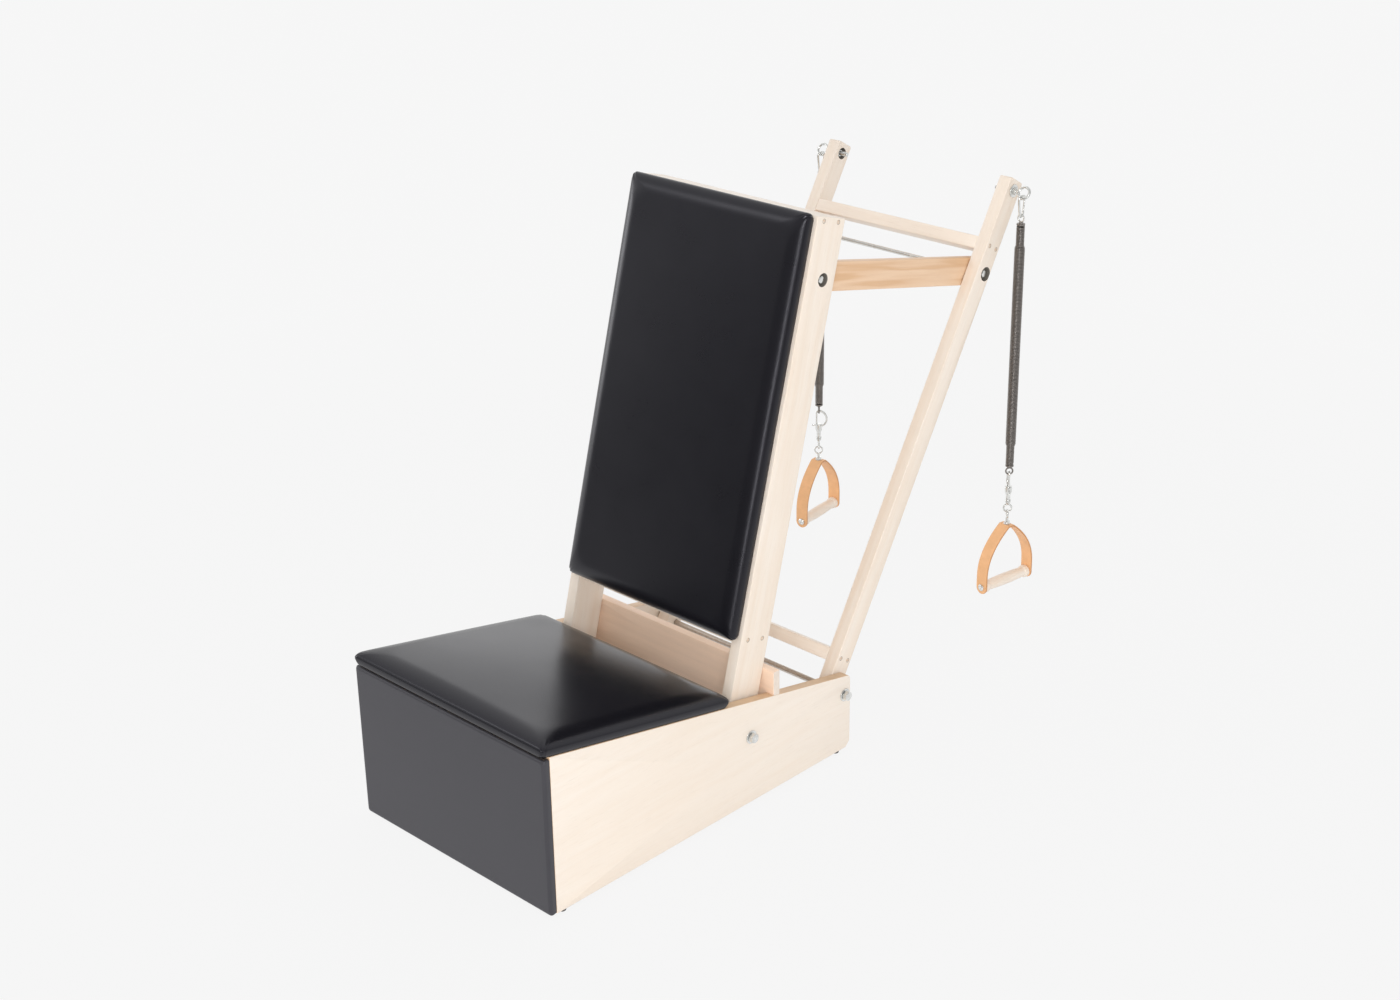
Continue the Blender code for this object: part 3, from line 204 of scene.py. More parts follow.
def eased(points, radius, closed=True, steps=6):
    """Corners as curves: a corner p gives way to (1-k)^2 a + 2k(1-k) p + k^2 b for k from 0 to 1,
    where a and b lie one radius away on its two sides, or nearly halfway along a shorter side."""
    points = np.asarray(points, float)
    radius = np.broadcast_to(np.asarray(radius, float), len(points))
    ends = []
    for shift in (1, -1):
        side = np.roll(points, shift, axis=0) - points
        length = np.maximum(np.linalg.norm(side, axis=1), 1e-9)
        ends.append(points + side * np.minimum(radius / length, 0.49)[:, None])
    a, b = (end[:, None] for end in ends)
    k = np.linspace(0, 1, steps)[None, :, None]
    curve = (1 - k) ** 2 * a + 2 * k * (1 - k) * points[:, None] + k ** 2 * b
    if closed:
        return curve.reshape(-1, points.shape[1])
    return np.concatenate([points[:1], curve[1:-1].reshape(-1, points.shape[1]), points[-1:]])


def smooth_path(points, steps=7):
    """Catmull-Rom curve: between points b and c, with a before and d after them, it is half of
    2b + (c-a)k + (2a-5b+4c-d)k^2 + (3b-a-3c+d)k^3 for k from 0 to 1."""
    p = np.asarray(points, float)
    p = np.concatenate([2 * p[:1] - p[1:2], p, 2 * p[-1:] - p[-2:-1]])
    a, b, c, d = (q[:, None] for q in (p[:-3], p[1:-2], p[2:-1], p[3:]))
    k = np.linspace(0, 1, steps, endpoint=False)[None, :, None]
    curve = 2 * b + (c - a) * k + (2 * a - 5 * b + 4 * c - d) * k ** 2 + (3 * b - a - 3 * c + d) * k ** 3
    return np.concatenate([0.5 * curve.reshape(-1, p.shape[1]), p[-2:-1]])


def turned(profile, matrix, sides=40, ease=None, ring=False, steps=6):
    """A profile of (radius, height), eased if asked, carried round the Z axis: (r cos a, r sin a, h).
    A ring's profile is a closed loop, and any other begins and ends on the axis."""
    if ease:
        profile = eased(profile, ease, ring, steps)
    radius, height = np.asarray(profile, float).T
    a = circle(sides)
    level = np.repeat(height[:, None], sides, axis=1)
    grid = np.stack([np.outer(radius, np.cos(a)), np.outer(radius, np.sin(a)), level], axis=-1)
    return moved(skin(grid, ring), matrix)


def tube(path, radius, side, sides=16, closed=False):
    """A circle carried along a path: p + r (cos a n + sin a b), with n the side direction squared to
    the path and b square to both. Open ends are half balls: p goes on by r sin e while r shrinks to
    r cos e."""
    path = np.asarray(path, float)
    radius = np.broadcast_to(np.asarray(radius, float), len(path))
    ahead = np.roll(path, -1, axis=0) - np.roll(path, 1, axis=0) if closed else np.gradient(path, axis=0)
    tangent = unit(ahead)
    side = np.broadcast_to(np.asarray(side, float), path.shape)
    normal = unit(side - (side * tangent).sum(1)[:, None] * tangent)
    across = np.cross(tangent, normal)
    if not closed:
        e = np.radians([90, 60, 30])
        head = path[:1] - tangent[:1] * (radius[0] * np.sin(e))[:, None]
        tail = path[-1:] + tangent[-1:] * (radius[-1] * np.sin(e[::-1]))[:, None]
        path = np.concatenate([head, path, tail])
        radius = np.concatenate([radius[0] * np.cos(e), radius, radius[-1] * np.cos(e[::-1])])
        normal, across = (np.pad(rows, ((3, 3), (0, 0)), "edge") for rows in (normal, across))
    a = circle(sides)[None, :, None]
    ways = np.cos(a) * normal[:, None] + np.sin(a) * across[:, None]
    return skin(path[:, None] + radius[:, None, None] * ways, closed)


def wire_ring(radius, wire, matrix, sides=14, count=56):
    """A wire bent into a circle in the XZ plane of its frame."""
    a = circle(count)
    path = np.stack([radius * np.cos(a), np.zeros(count), radius * np.sin(a)], axis=1)
    return moved(tube(path, wire, (0, 1, 0), sides, True), matrix)


def inset(outline, distance):
    """An outline drawn in: each point moves by distance (n1 + n2) / (1 + n1.n2) against the normals
    n1 and n2 of its two sides."""
    along = np.roll(outline, -1, axis=0) - outline
    normal = unit(np.stack([along[:, 1], -along[:, 0]], axis=1))
    before = np.roll(normal, 1, axis=0)
    share = (normal + before) / (1 + (normal * before).sum(1))[:, None]
    return outline - share * distance


def slab(outline, thickness, matrix, centre=None, steps=4):
    """A flat board: the outline is drawn in by ease (1 - sin a) at the height half - ease (1 - cos a),
    for a from 0 to 90 degrees, so its edges are quarter rounds. Both faces close on the centre."""
    ease = sizes().board_edge
    outline = np.asarray(outline, float)
    following = np.roll(outline, -1, axis=0)
    if (outline[:, 0] * following[:, 1] - outline[:, 1] * following[:, 0]).sum() < 0:
        outline = outline[::-1]
    a = np.radians(np.linspace(0, 90, steps))
    insets = ease * (1 - np.sin(np.concatenate([a, a[::-1]])))
    heights = thickness / 2 - ease * (1 - np.cos(a))
    heights = np.concatenate([heights[:1], heights, -heights[::-1], -heights[:1]])
    middle = np.broadcast_to(outline.mean(0) if centre is None else centre, (1, *outline.shape))
    rings = np.concatenate([middle, [inset(outline, distance) for distance in insets], middle])
    level = np.broadcast_to(heights[:, None, None], (*rings.shape[:2], 1))
    return moved(skin(np.concatenate([rings, level], axis=-1)), matrix)


def box(low, high, matrix):
    """A plain block, used only to cut with."""
    x, y, z = np.meshgrid(*zip(low, high), indexing="ij")
    points = np.stack([x.ravel(), y.ravel(), z.ravel()], axis=1)
    faces = [(0, 1, 3, 2), (4, 6, 7, 5), (0, 4, 5, 1), (2, 3, 7, 6), (0, 2, 6, 4), (1, 5, 7, 3)]
    return moved((points, np.array(faces)), matrix)


def bore(radius, start, end, matrix, y, z):
    """Cutter of a hole along X from start to end, wider by a small flare at each end."""
    low, high = sorted((start, end))
    wide = radius + BORE_FLARE
    profile = [(0, low - BORE_REACH), (wide, low - BORE_REACH), (wide, low), (radius, low + BORE_FLARE),
               (radius, high - BORE_FLARE), (wide, high), (wide, high + BORE_REACH), (0, high + BORE_REACH)]
    return turned(profile, matrix @ at(0, y, z) @ TO_X)


def sunk_bore(radius, bed, face, sign, matrix, y, z):
    """Cutter of a counterbore from its bed to the face, flared where it opens."""
    depth = abs(face - bed)
    wide = radius + BORE_FLARE
    profile = [(0, 0), (radius, 0), (radius, depth - BORE_FLARE), (wide, depth), (wide, depth + BORE_REACH),
               (0, depth + BORE_REACH)]
    return turned(profile, matrix @ at(sign * bed, y, z) @ spun(math.copysign(90, face - bed) * sign, "Y"))


def hexagon(across, thickness, matrix, hole=0.0, sides=72):
    """Hexagon with its corners turned off: at each height the radius is the smaller of its own,
    apothem / cos of the angle from the middle of the flat, and the limit of the chamfer's cone."""
    a = circle(sides)
    apothem = across / 2 * math.cos(math.pi / 6)
    own = apothem / np.cos(a % (math.pi / 3) - math.pi / 6)
    limit = np.linspace(0.95 * apothem, across / 2, 5)
    height = thickness / 2 - (limit - limit[0]) * math.tan(math.radians(30))
    limit = np.concatenate([[hole], limit, limit[::-1], [hole]])
    height = np.concatenate([height[:1], height, -height[::-1], -height[:1]])
    radius = np.minimum(limit[:, None], own[None])
    grid = np.stack([radius * np.cos(a), radius * np.sin(a), np.repeat(height[:, None], sides, 1)], axis=-1)
    return moved(skin(grid, hole > 0), matrix @ TO_X)


def rod(radius, start, end, matrix, ease=0.0008, sides=32, thread=None):
    """A rod along X with eased ends. Where it is threaded, its radius waves once for each pitch."""
    low, high = sorted((start, end))
    profile = [(0, low), (radius - ease, low), (radius, low + ease)]
    if thread:
        first, last, pitch = thread
        z = np.arange(first, last, pitch / 4)
        wave = radius - THREAD_DEPTH * (1 - np.cos(2 * math.pi * (z - first) / pitch)) / 2
        profile += list(zip(wave, z))
    profile += [(radius, high - ease), (radius - ease, high), (0, high)]
    return turned(profile, matrix @ TO_X, sides)


def washer(radius, hole, matrix):
    """A washer along X with eased rims."""
    half = WASHER_THICK / 2
    loop = [(hole, half), (radius, half), (radius, -half), (hole, -half)]
    return turned(loop, matrix @ TO_X, 48, 0.0005, True, 4)


def soft_pad(matrix, half_x, half_y, corner, side, thick, lip, crown, draw_in, pleat, count=60, rings=28):
    """A stuffed pad in rings. With the inset d, a ring's corner radius is corner + 0.8 d, so that
    inner rings are rounder and the corners droop. The side rises by the height side while its inset
    goes from draw_in to nothing. Over the lip the inset is lip (1 - cos a) and the height adds
    (thick - side) sin a, and further in it adds crown (1 - u^2)(1 - v^2), where u and v run from -1
    to 1. Small pleats wave the corners by cos(10 b) sin(2 b)^2, with b the angle round the corner.
    The underside is hollow, so that the pad's board shows there."""
    k = np.linspace(-1, 1, count, endpoint=False)
    turn = np.radians(np.linspace(0, 90, 22))
    edge = np.concatenate([np.stack([np.ones(count), k], axis=1), np.ones((len(turn), 2))])
    out = np.concatenate([np.repeat([[1.0, 0.0]], count, 0), np.stack([np.cos(turn), np.sin(turn)], axis=1)])
    quarters = [np.array([[c, s], [-s, c]]) for c, s in ((1, 0), (0, 1), (-1, 0), (0, -1))]
    spots, ways = (np.concatenate([rows @ quarter for quarter in quarters]) for rows in (edge, out))
    least = min(half_x, half_y)
    rise = np.linspace(0, 1, 7)
    over = np.radians(np.linspace(0, 90, 18))[1:]
    inner = np.linspace(0, 1, rings)[1:]
    insets = np.concatenate([[least, draw_in + 0.012, draw_in + 0.003], draw_in * (1 - rise) ** 2,
                             lip * (1 - np.cos(over)), lip + (least - lip) * inner ** 1.1])
    heights = np.concatenate([[0.0024, 0.002, 0.0008], side * rise, side + (thick - side) * np.sin(over),
                              np.full(len(inner), thick)])
    bend = np.minimum(corner + 0.8 * insets, least - insets)
    core = np.array([half_x, half_y]) - insets[:, None] - bend[:, None]
    flat = spots[None] * core[:, None] + ways[None] * bend[:, None, None]
    u, v = flat[..., 0] / half_x, flat[..., 1] / half_y
    lift = np.clip(heights - side, 0, None) / (thick - side)
    height = heights[:, None] + crown * np.clip(1 - u ** 2, 0, 1) * np.clip(1 - v ** 2, 0, 1) * lift[:, None]
    angle = np.arctan2(ways[:, 1], ways[:, 0]) % (math.pi / 2)
    near = np.exp(-((insets - 0.12 * lip) / (0.16 * lip)) ** 2) * (heights > 0.5 * side)
    wave = pleat * np.cos(10 * angle) * np.sin(2 * angle) ** 2
    flat = flat - ways[None] * (near[:, None] * wave[None])[..., None]
    return moved(skin(np.concatenate([flat, height[..., None]], axis=-1)), matrix)


# Meshes and pieces

def mesh_of(name, shape, marks=None):
    """A mesh from a shape: its points and faces are set as whole arrays, doubles at poles and seams
    are merged, and its faces point outwards."""
    points, faces = shape
    mesh = bpy.data.meshes.new(name)
    mesh.vertices.add(len(points))
    mesh.vertices.foreach_set("co", points.astype(np.float32).ravel())
    mesh.loops.add(faces.size)
    mesh.loops.foreach_set("vertex_index", faces.astype(np.int32).ravel())
    mesh.polygons.add(len(faces))
    mesh.polygons.foreach_set("loop_start", np.arange(0, faces.size, 4, dtype=np.int32))
    mesh.update(calc_edges=True)
    for mark, values in (marks or {}).items():
        attribute = mesh.attributes.new(mark, "FLOAT", "POINT")
        attribute.data.foreach_set("value", np.asarray(values, np.float32).ravel())
    bm = bmesh.new()
    bm.from_mesh(mesh)
    bmesh.ops.remove_doubles(bm, verts=bm.verts, dist=2e-6)
    bmesh.ops.dissolve_degenerate(bm, edges=bm.edges, dist=1e-6)
    bmesh.ops.recalc_face_normals(bm, faces=bm.faces)
    bm.to_mesh(mesh)
    bm.free()
    return mesh


def placed(name, data):
    """A new object in the scene."""
    obj = bpy.data.objects.new(name, data)
    bpy.context.scene.collection.objects.link(obj)
    return obj


def cut(name, shape, cutters, finish, painted_wall_shade):
    """A mesh of the shape less its cutters, by exact Booleans that are applied at once. The walls
    that the cutters leave can take a finish of their own, such as the bores' dark painted shade."""
    body, *tools = (placed(name, mesh_of(name, data)) for data in (shape, *cutters))
    if painted_wall_shade:
        body.data.materials.append(finish_of(finish))
    for tool in tools:
        if painted_wall_shade:
            tool.data.materials.append(finish_of(painted_wall_shade))
        mod = body.modifiers.new("bore", "BOOLEAN")
        mod.operation, mod.object, mod.solver, mod.material_mode = "DIFFERENCE", tool, "EXACT", "TRANSFER"
    mesh = bpy.data.meshes.new_from_object(body.evaluated_get(bpy.context.evaluated_depsgraph_get()))
    for holder in (body, *tools):
        bpy.data.objects.remove(holder, do_unlink=True)
    return mesh


def piece(name, shape, finish, body, node=None, cutters=(), painted_wall_shade=None, angle=38, marks=None):
    """A named piece that rides on its body. It stands for the frame's node that its name begins with,
    up to the last underscore, or for another one if that is given."""
    mesh = cut(name, shape, cutters, finish, painted_wall_shade) if cutters else mesh_of(name, shape, marks)
    if not painted_wall_shade:
        mesh.materials.clear()
        mesh.materials.append(finish_of(finish))
    mesh.shade_smooth()
    mesh.set_sharp_from_angle(angle=math.radians(angle))
    obj = placed(name, mesh)
    node = name.rpartition("_")[0] if node is None else node
    if node:
        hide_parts(node)
    if body:
        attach(obj, body)
    return obj


def cushion(name, finish, body, *measures, **form):
    """A stuffed cover."""
    pad = piece(f"{name}_cover", soft_pad(*measures, **form), finish, body, angle=70)


# Materials

class Socket:
    """An output of a shader tree with Python's arithmetic: an expression on it adds its Math nodes."""

    def __init__(self, tree, link):
        self.tree, self.link = tree, link

    def math(self, operation, *values):
        """One Math node on this socket and other values."""
        return self.tree.node("Math", {"operation": operation}, dict(enumerate((self, *values))))

    def __add__(self, other):
        return self.math("ADD", other)

    __radd__ = __add__

    def __mul__(self, other):
        return self.math("MULTIPLY", other)

    __rmul__ = __mul__

    def __sub__(self, other):
        return self.math("SUBTRACT", other)

    def __rsub__(self, other):
        return self.tree.node("Math", {"operation": "SUBTRACT"}, {0: other, 1: self})

    def __pow__(self, other):
        return self.math("POWER", other)

    def clamp(self, low, high):
        """0 below low, 1 above high and a straight line between them."""
        return self.tree.node("MapRange", {"clamp": True}, {"Value": self, "From Min": low, "From Max": high})


class Finish:
    """One material, or the world, and its shader tree."""

    def __init__(self, name, owner=None):
        self.material = owner or bpy.data.materials.new(name)
        self.material.use_nodes = True
        self.tree = self.material.node_tree
        self.tree.nodes.clear()

    def node(self, kind, settings=None, values=None, output=0):
        """A node of a type, with its settings and then the values or links of its sockets."""
        node = self.tree.nodes.new("ShaderNode" + kind)
        for key, value in (settings or {}).items():
            setattr(node, key, value)
        for key, value in (values or {}).items():
            socket = node.inputs[key]
            if isinstance(value, Socket):
                self.tree.links.new(value.link, socket)
            else:
                socket.default_value = (*value, 1.0) if socket.type == "RGBA" else value
        return None if output is None else Socket(self, node.outputs[output])

    def mix(self, share, first, second):
        """Colour between two others."""
        return self.node("Mix", {"data_type": "RGBA"}, {0: share, 6: first, 7: second}, 2)

    def place(self, turn=(0, 0, 0), shift=(0, 0, 0)):
        """The point on the surface in the piece's own coordinates, turned and shifted."""
        point = self.node("TexCoord", output="Object")
        return self.node("Mapping", None, {"Vector": point, "Rotation": turn, "Location": shift})

    def stretch(self, vector, by):
        """A vector times another."""
        return self.node("VectorMath", {"operation": "MULTIPLY"}, {0: vector, 1: by})

    def part(self, vector, axis):
        """One of a vector's three numbers."""
        return self.node("SeparateXYZ", None, {"Vector": vector}, axis)

    def noise(self, vector, scale, detail=4.0, roughness=0.55):
        """Soft noise from 0 to 1."""
        values = {"Vector": vector, "Scale": scale, "Detail": detail, "Roughness": roughness}
        return self.node("TexNoise", None, values)

    def cells(self, vector, scale, feature):
        """Distance to the nearest of many scattered points."""
        return self.node("TexVoronoi", {"feature": feature}, {"Vector": vector, "Scale": scale})

    def bump(self, height, distance, strength):
        """Normal of a surface with small relief, in metres."""
        return self.node("Bump", None, {"Height": height, "Distance": distance, "Strength": strength})

    def surface(self, **values):
        """The Principled surface. Names are written with underscores."""
        named = {key.replace("_", " ").title().replace("Ior", "IOR"): value for key, value in values.items()}
        self.node("OutputMaterial", None, {"Surface": self.node("BsdfPrincipled", None, named)}, None)
        return self.material

    def rays(self):
        """Whether a ray comes from the camera, from a mirror, and from a mirror or clear glass."""
        camera, glossy, clear = (self.node("LightPath", output="Is " + kind + " Ray")
                                 for kind in ("Camera", "Glossy", "Transmission"))
        return camera, glossy, glossy.math("MAXIMUM", clear)

    def blend(self, share, first, second):
        """Shader between two others."""
        return self.node("MixShader", None, {0: share, 1: first, 2: second})


def shade(colour, by, more=0.0):
    """A colour times a number, plus another."""
    return tuple(by * c + more for c in colour)


def wood(name, pale, dark, turn, seed, figure=0.35, streaks=0.45, ring_scale=16.0, edge=None):
    """Lacquered wood, its grain along the Z axis of the turned coordinates. Growth rings are circles
    round a tree's axis well off the board, bent by noise. Soft streaks and short flecks run along the
    grain. An edge is given as (axis, middle, half, colour): where the distance from the middle is
    under half, the wood takes that colour."""
    finish = Finish(name)
    point = finish.place(turn, (0.137 * seed + 0.21, 0.071 * seed + 0.05, 0.31 * seed))
    along = finish.stretch(point, (1.0, 1.0, 0.07))
    rings = finish.node("TexWave", {"wave_type": "RINGS", "rings_direction": "Z"},
                        {"Vector": along, "Scale": ring_scale, "Distortion": 7.0, "Detail": 2.0,
                         "Detail Scale": 1.6, "Detail Roughness": 0.5}, 1)
    streak = finish.noise(along, 70.0, 5.0, 0.6)
    cloud = finish.noise(finish.stretch(point, (1.0, 1.0, 0.3)), 9.0, 2.0)
    fleck = finish.noise(finish.stretch(point, (1.0, 1.0, 0.035)), 900.0, 2.0, 0.5).clamp(0.62, 0.75)
    tone = finish.mix(streak.clamp(0.35, 0.72) * streaks, pale, dark)
    tone = finish.mix(rings ** 2.0 * figure, tone, dark)
    tone = finish.mix(cloud.clamp(0.4, 0.7) * 0.15, tone, dark)
    tone = finish.mix(fleck * 0.22, tone, shade(dark, 0.62))
    if edge:
        axis, middle, half, colour = edge
        away = (finish.part(finish.place(), axis).math("ABSOLUTE") - middle).math("ABSOLUTE")
        tone = finish.mix(away.math("LESS_THAN", half) * 0.85, tone,
                          finish.mix(streak, colour, shade(colour, 0.72)))
    relief = finish.bump(streak + fleck * -0.6, 0.00006, 0.5)
    return finish.surface(base_color=tone, roughness=streak * 0.12 + 0.36, normal=relief, coat_weight=0.12,
                          coat_roughness=0.25)


def vinyl(name, colour, rough=0.33, shine=0.5):
    """Upholstery vinyl: fine pebbled grain, a soft sheen, and faint hollows where it is stretched."""
    finish = Finish(name)
    point = finish.place()
    pebble = finish.cells(point, 850.0, "SMOOTH_F1")
    soft = finish.noise(point, 11.0, 3.0, 0.5)
    dust = finish.noise(point, 240.0, 3.0, 0.6)
    tone = finish.mix(soft * 0.6, colour, shade(colour, 1.35, 0.002))
    roughness = soft * 0.07 + dust * 0.05 + (rough - 0.06)
    relief = finish.bump(pebble * 0.5 + soft * 3.0, 0.00012, 0.35)
    return finish.surface(base_color=tone, roughness=roughness, normal=relief, specular_ior_level=shine,
                          specular_tint=(0.91, 0.9, 1.0))


def leather(name, colour, edge_colour):
    """Vegetable-tanned strap leather: cloudy tone, fine pores, and darker burnished edges."""
    finish = Finish(name)
    point = finish.place()
    edge = finish.node("Attribute", {"attribute_name": "strap_edge"}, output="Fac")
    cloud = finish.noise(point, 60.0, 4.0, 0.6)
    tone = finish.mix(cloud.clamp(0.3, 0.75) * 0.45, colour, shade(colour, 0.74))
    tone = finish.mix(edge, tone, edge_colour)
    relief = finish.bump(finish.cells(point, 1500.0, "F1") * 0.4 + cloud * 0.8, 0.00015, 0.4)
    return finish.surface(base_color=tone, roughness=cloud * 0.15 + 0.4, normal=relief)


def metal(name, colour, rough, streak, stain):
    """Plated or oiled steel: a cloudy film over fine scratches."""
    finish = Finish(name)
    point = finish.place()
    film = finish.noise(point, 160.0, 3.0, 0.6)
    scratch = finish.noise(finish.stretch(point, (1.0, 1.0, 8.0)), 500.0, 2.0, 0.5)
    tone = finish.mix(film.clamp(0.35, 0.7) * 0.6, colour, stain)
    roughness = film * streak + scratch * 0.08 + rough
    relief = finish.bump(scratch, 0.00003, 0.3)
    return finish.surface(base_color=tone, roughness=roughness, metallic=1.0, normal=relief)


def plywood(name, colour, line):
    """Birch plywood: thin plies seen as faint lines."""
    finish = Finish(name)
    grain = finish.noise(finish.stretch(finish.place(), (0.1, 1.0, 1.0)), 90.0, 4.0)
    tone = finish.mix(grain.clamp(0.3, 0.75) * 0.5, colour, line)
    return finish.surface(base_color=tone, roughness=grain * 0.1 + 0.5)


def moulding(name, colour):
    """A plain dull surface with fine specks: the glides' plastic, and the painted shade on the walls of
    bores.
    """
    finish = Finish(name)
    speck = finish.noise(finish.place(), 400.0, 3.0)
    tone = finish.mix(speck * 0.5, colour, shade(colour, 1.6))
    return finish.surface(base_color=tone, roughness=speck * 0.15 + 0.45)


finishes = {}


# User settings

def colour_of(label, what, default):
    """A colour that a user can change."""
    return FloatVectorProperty(name=label, description=what, default=default, size=3, subtype="COLOR",
                               min=0.0, max=1.0)


def length_of(label, what, default):
    """A length that a user can change."""
    return FloatProperty(name=label, description=what, default=default, min=0.0, unit="LENGTH", precision=4)


class ArmChairColours(bpy.types.PropertyGroup):
    """Colours of the finishes, as linear values."""

    maple: colour_of("Maple", "Pale lacquered maple of the panels and posts", (0.92, 0.83, 0.735))
    maple_dark: colour_of("Maple streak", "Darker grain of the maple", (0.83, 0.67, 0.52))
    maple_edge: colour_of("Maple edge", "Warm tan of the panels' edges", (0.78, 0.5, 0.27))
    # The stop board's peach is partly its warm maple and partly painted light: warm bounce light on its
    # shaded front
    stop: colour_of("Stop board", "Peach maple of the stop board", (0.98, 0.74, 0.57))
    link: colour_of("Link bar", "Warmer maple of the link bars", (0.86, 0.62, 0.43))
    link_dark: colour_of("Link bar streak", "Darker grain of the link bars", (0.7, 0.42, 0.22))
    vinyl: colour_of("Vinyl", "Black upholstery of seat and back", (0.005, 0.0048, 0.007))
    # The front vinyl is a lighter copy of the black vinyl: a painted reflection of the pale floor on the
    # front pad
    front: colour_of("Front vinyl", "Vinyl on the front board", (0.038, 0.037, 0.042))
    leather: colour_of("Leather", "Tan leather of the handles", (0.95, 0.54, 0.27))
    leather_edge: colour_of("Leather edge", "Burnished edge of the straps", (0.6, 0.28, 0.11))
    zinc: colour_of("Zinc", "Bright zinc of bolts and snaps", (0.84, 0.84, 0.82))
    spring: colour_of("Spring steel", "Dark steel of the springs", (0.27, 0.248, 0.232))
    ground: colour_of("Floor", "Pale floor", (0.9, 0.9, 0.9))
    backdrop: colour_of("Backdrop", "Pale background behind the chair", (0.925, 0.925, 0.925))


class ArmChairSizes(bpy.types.PropertyGroup):
    """Sizes of the details that are worked out here."""

    board_edge: length_of("Board edge", "Rounding of the boards' edges", 0.0016)
    seat_crown: length_of("Seat crown", "Rise of the seat cushion in its middle", 0.0135)
    back_crown: length_of("Back crown", "Rise of the back cushion in its middle", 0.0065)
    seat_side: length_of("Seat side", "Height of the seat cushion's straight side", 0.0125)
    seat_lip: length_of("Seat lip", "Width over which the seat cushion's edge rounds off", 0.046)
    back_side: length_of("Back side", "Height of the back cushion's straight side", 0.011)
    back_lip: length_of("Back lip", "Width over which the back cushion's edge rounds off", 0.036)
    corner: length_of("Cushion corner", "Corner radius of the cushions", 0.0105)
    pleat: length_of("Corner pleats", "Depth of the gathers at the cushions' corners", 0.0014)
    spring_wire: length_of("Spring wire", "Thickness of the spring's wire", 0.003)
    spring_coil: length_of("Spring coil", "Outside width of the spring", 0.023)
    spring_end: length_of("Spring end", "Outside width of the spring's narrow ends", 0.0185)
    spring_turns: IntProperty(name="Spring turns", description="Turns of each spring", default=176, min=20,
                              max=400)


def sizes():
    """The sizes as the user has them."""
    return bpy.context.scene.arm_chair_sizes


def make_finishes():
    """Make every material from the user's colours."""
    c = bpy.context.scene.arm_chair_colours
    rim = (0, (PANEL_INNER + HALF_WIDTH) / 2, PANEL_THICK / 2 - 0.0004, c.maple_edge)
    # The stop board's end faces take the pale maple: painted light, lit ends against the shaded peach front
    ends = (0, HALF_WIDTH, 0.0006, c.maple)
    across, endwise = (0, -math.pi / 2, 0), (0, math.pi / 2, 0)
    level, back, rear, link = ((math.radians(lean), 0, 0)
                               for lean in (90, BACK_LEAN, REAR_LEAN, 90 + LINK_FALL))
    for key, kind, pale, dark, turn, seed, *look in (
            ("panel", "maple", c.maple, c.maple_dark, level, 1, 0.05, 0.2, 9.0, rim),
            ("back_post", "maple", c.maple, c.maple_dark, back, 4, 0.18, 0.36),
            ("rear_post", "maple", c.maple, c.maple_dark, rear, 7, 0.2, 0.36),
            ("link", "warm_maple", c.link, c.link_dark, link, 10, 0.75, 0.4, 26.0)):
        for n, (side, _) in enumerate(SIDES):
            finishes[f"{key}_{side}"] = wood(f"{kind}_{key}_{side}", pale, dark, turn, seed + n, *look)
    finishes.update({
        # Stop board: a brightened peach front as painted bounce light in the cushions' shade, with pale maple
        # ends
        "stop": wood("maple_stop_board", c.stop, shade(c.stop, 0.9), across, 3, 0.3, 0.45, 16.0, ends),
        "back_rails": wood("maple_back_rails", c.maple, c.maple_dark, across, 6, 0.4),
        # The rear rails take the maple made lighter: painted light on rails that lie in the backrest's shade
        "rear_rails": wood("maple_rear_rails", shade(c.maple, 1.06), c.maple_dark, across, 9, 0.15, 0.3),
        "grip": wood("maple_grip", shade(c.maple, 0.97), c.maple_dark, level, 12, 0.25, 0.5, 40.0),
        "plug": wood("plug_end_grain", shade(c.maple, 0.8), c.link_dark, endwise, 13, 0.6, 0.5, 60.0),
        # Painted shade: a dark tone on the walls of bores, in place of the shade that falls in them
        "bore": moulding("shaded_bore", (0.17, 0.155, 0.135)),
        "seat_vinyl": vinyl("black_vinyl_seat", c.vinyl, 0.25, 0.43),
        "back_vinyl": vinyl("black_vinyl_back", c.vinyl, 0.29, 0.42),
        # Front pad vinyl: a lighter base as a painted reflection of the pale floor
        "front_vinyl_painted_sheen": vinyl("front_vinyl_painted_sheen", c.front, 0.42),
        "leather": leather("tan_leather", c.leather, c.leather_edge),
        "zinc": metal("bright_zinc", c.zinc, 0.16, 0.12, (0.5, 0.51, 0.5)),
        "rod": metal("dull_rod", (0.58, 0.53, 0.48), 0.26, 0.15, (0.42, 0.34, 0.27)),
        "spring": metal("dark_spring_steel", c.spring, 0.3, 0.12, shade(c.spring, 0.78)),
        "plywood": plywood("birch_plywood", (0.66, 0.48, 0.3), (0.44, 0.28, 0.15)),
        "plastic": moulding("glide_plastic", (0.03, 0.028, 0.026)),
    })


def finish_of(key):
    """One of the materials. The first time that one is asked for, all of them are made."""
    if not finishes:
        make_finishes()
    return finishes[key]


# Operators, one for each piece or group of like pieces

class Builder:
    """What the operators share. An error in one of them stops the script."""

    bl_options = {"REGISTER", "UNDO"}


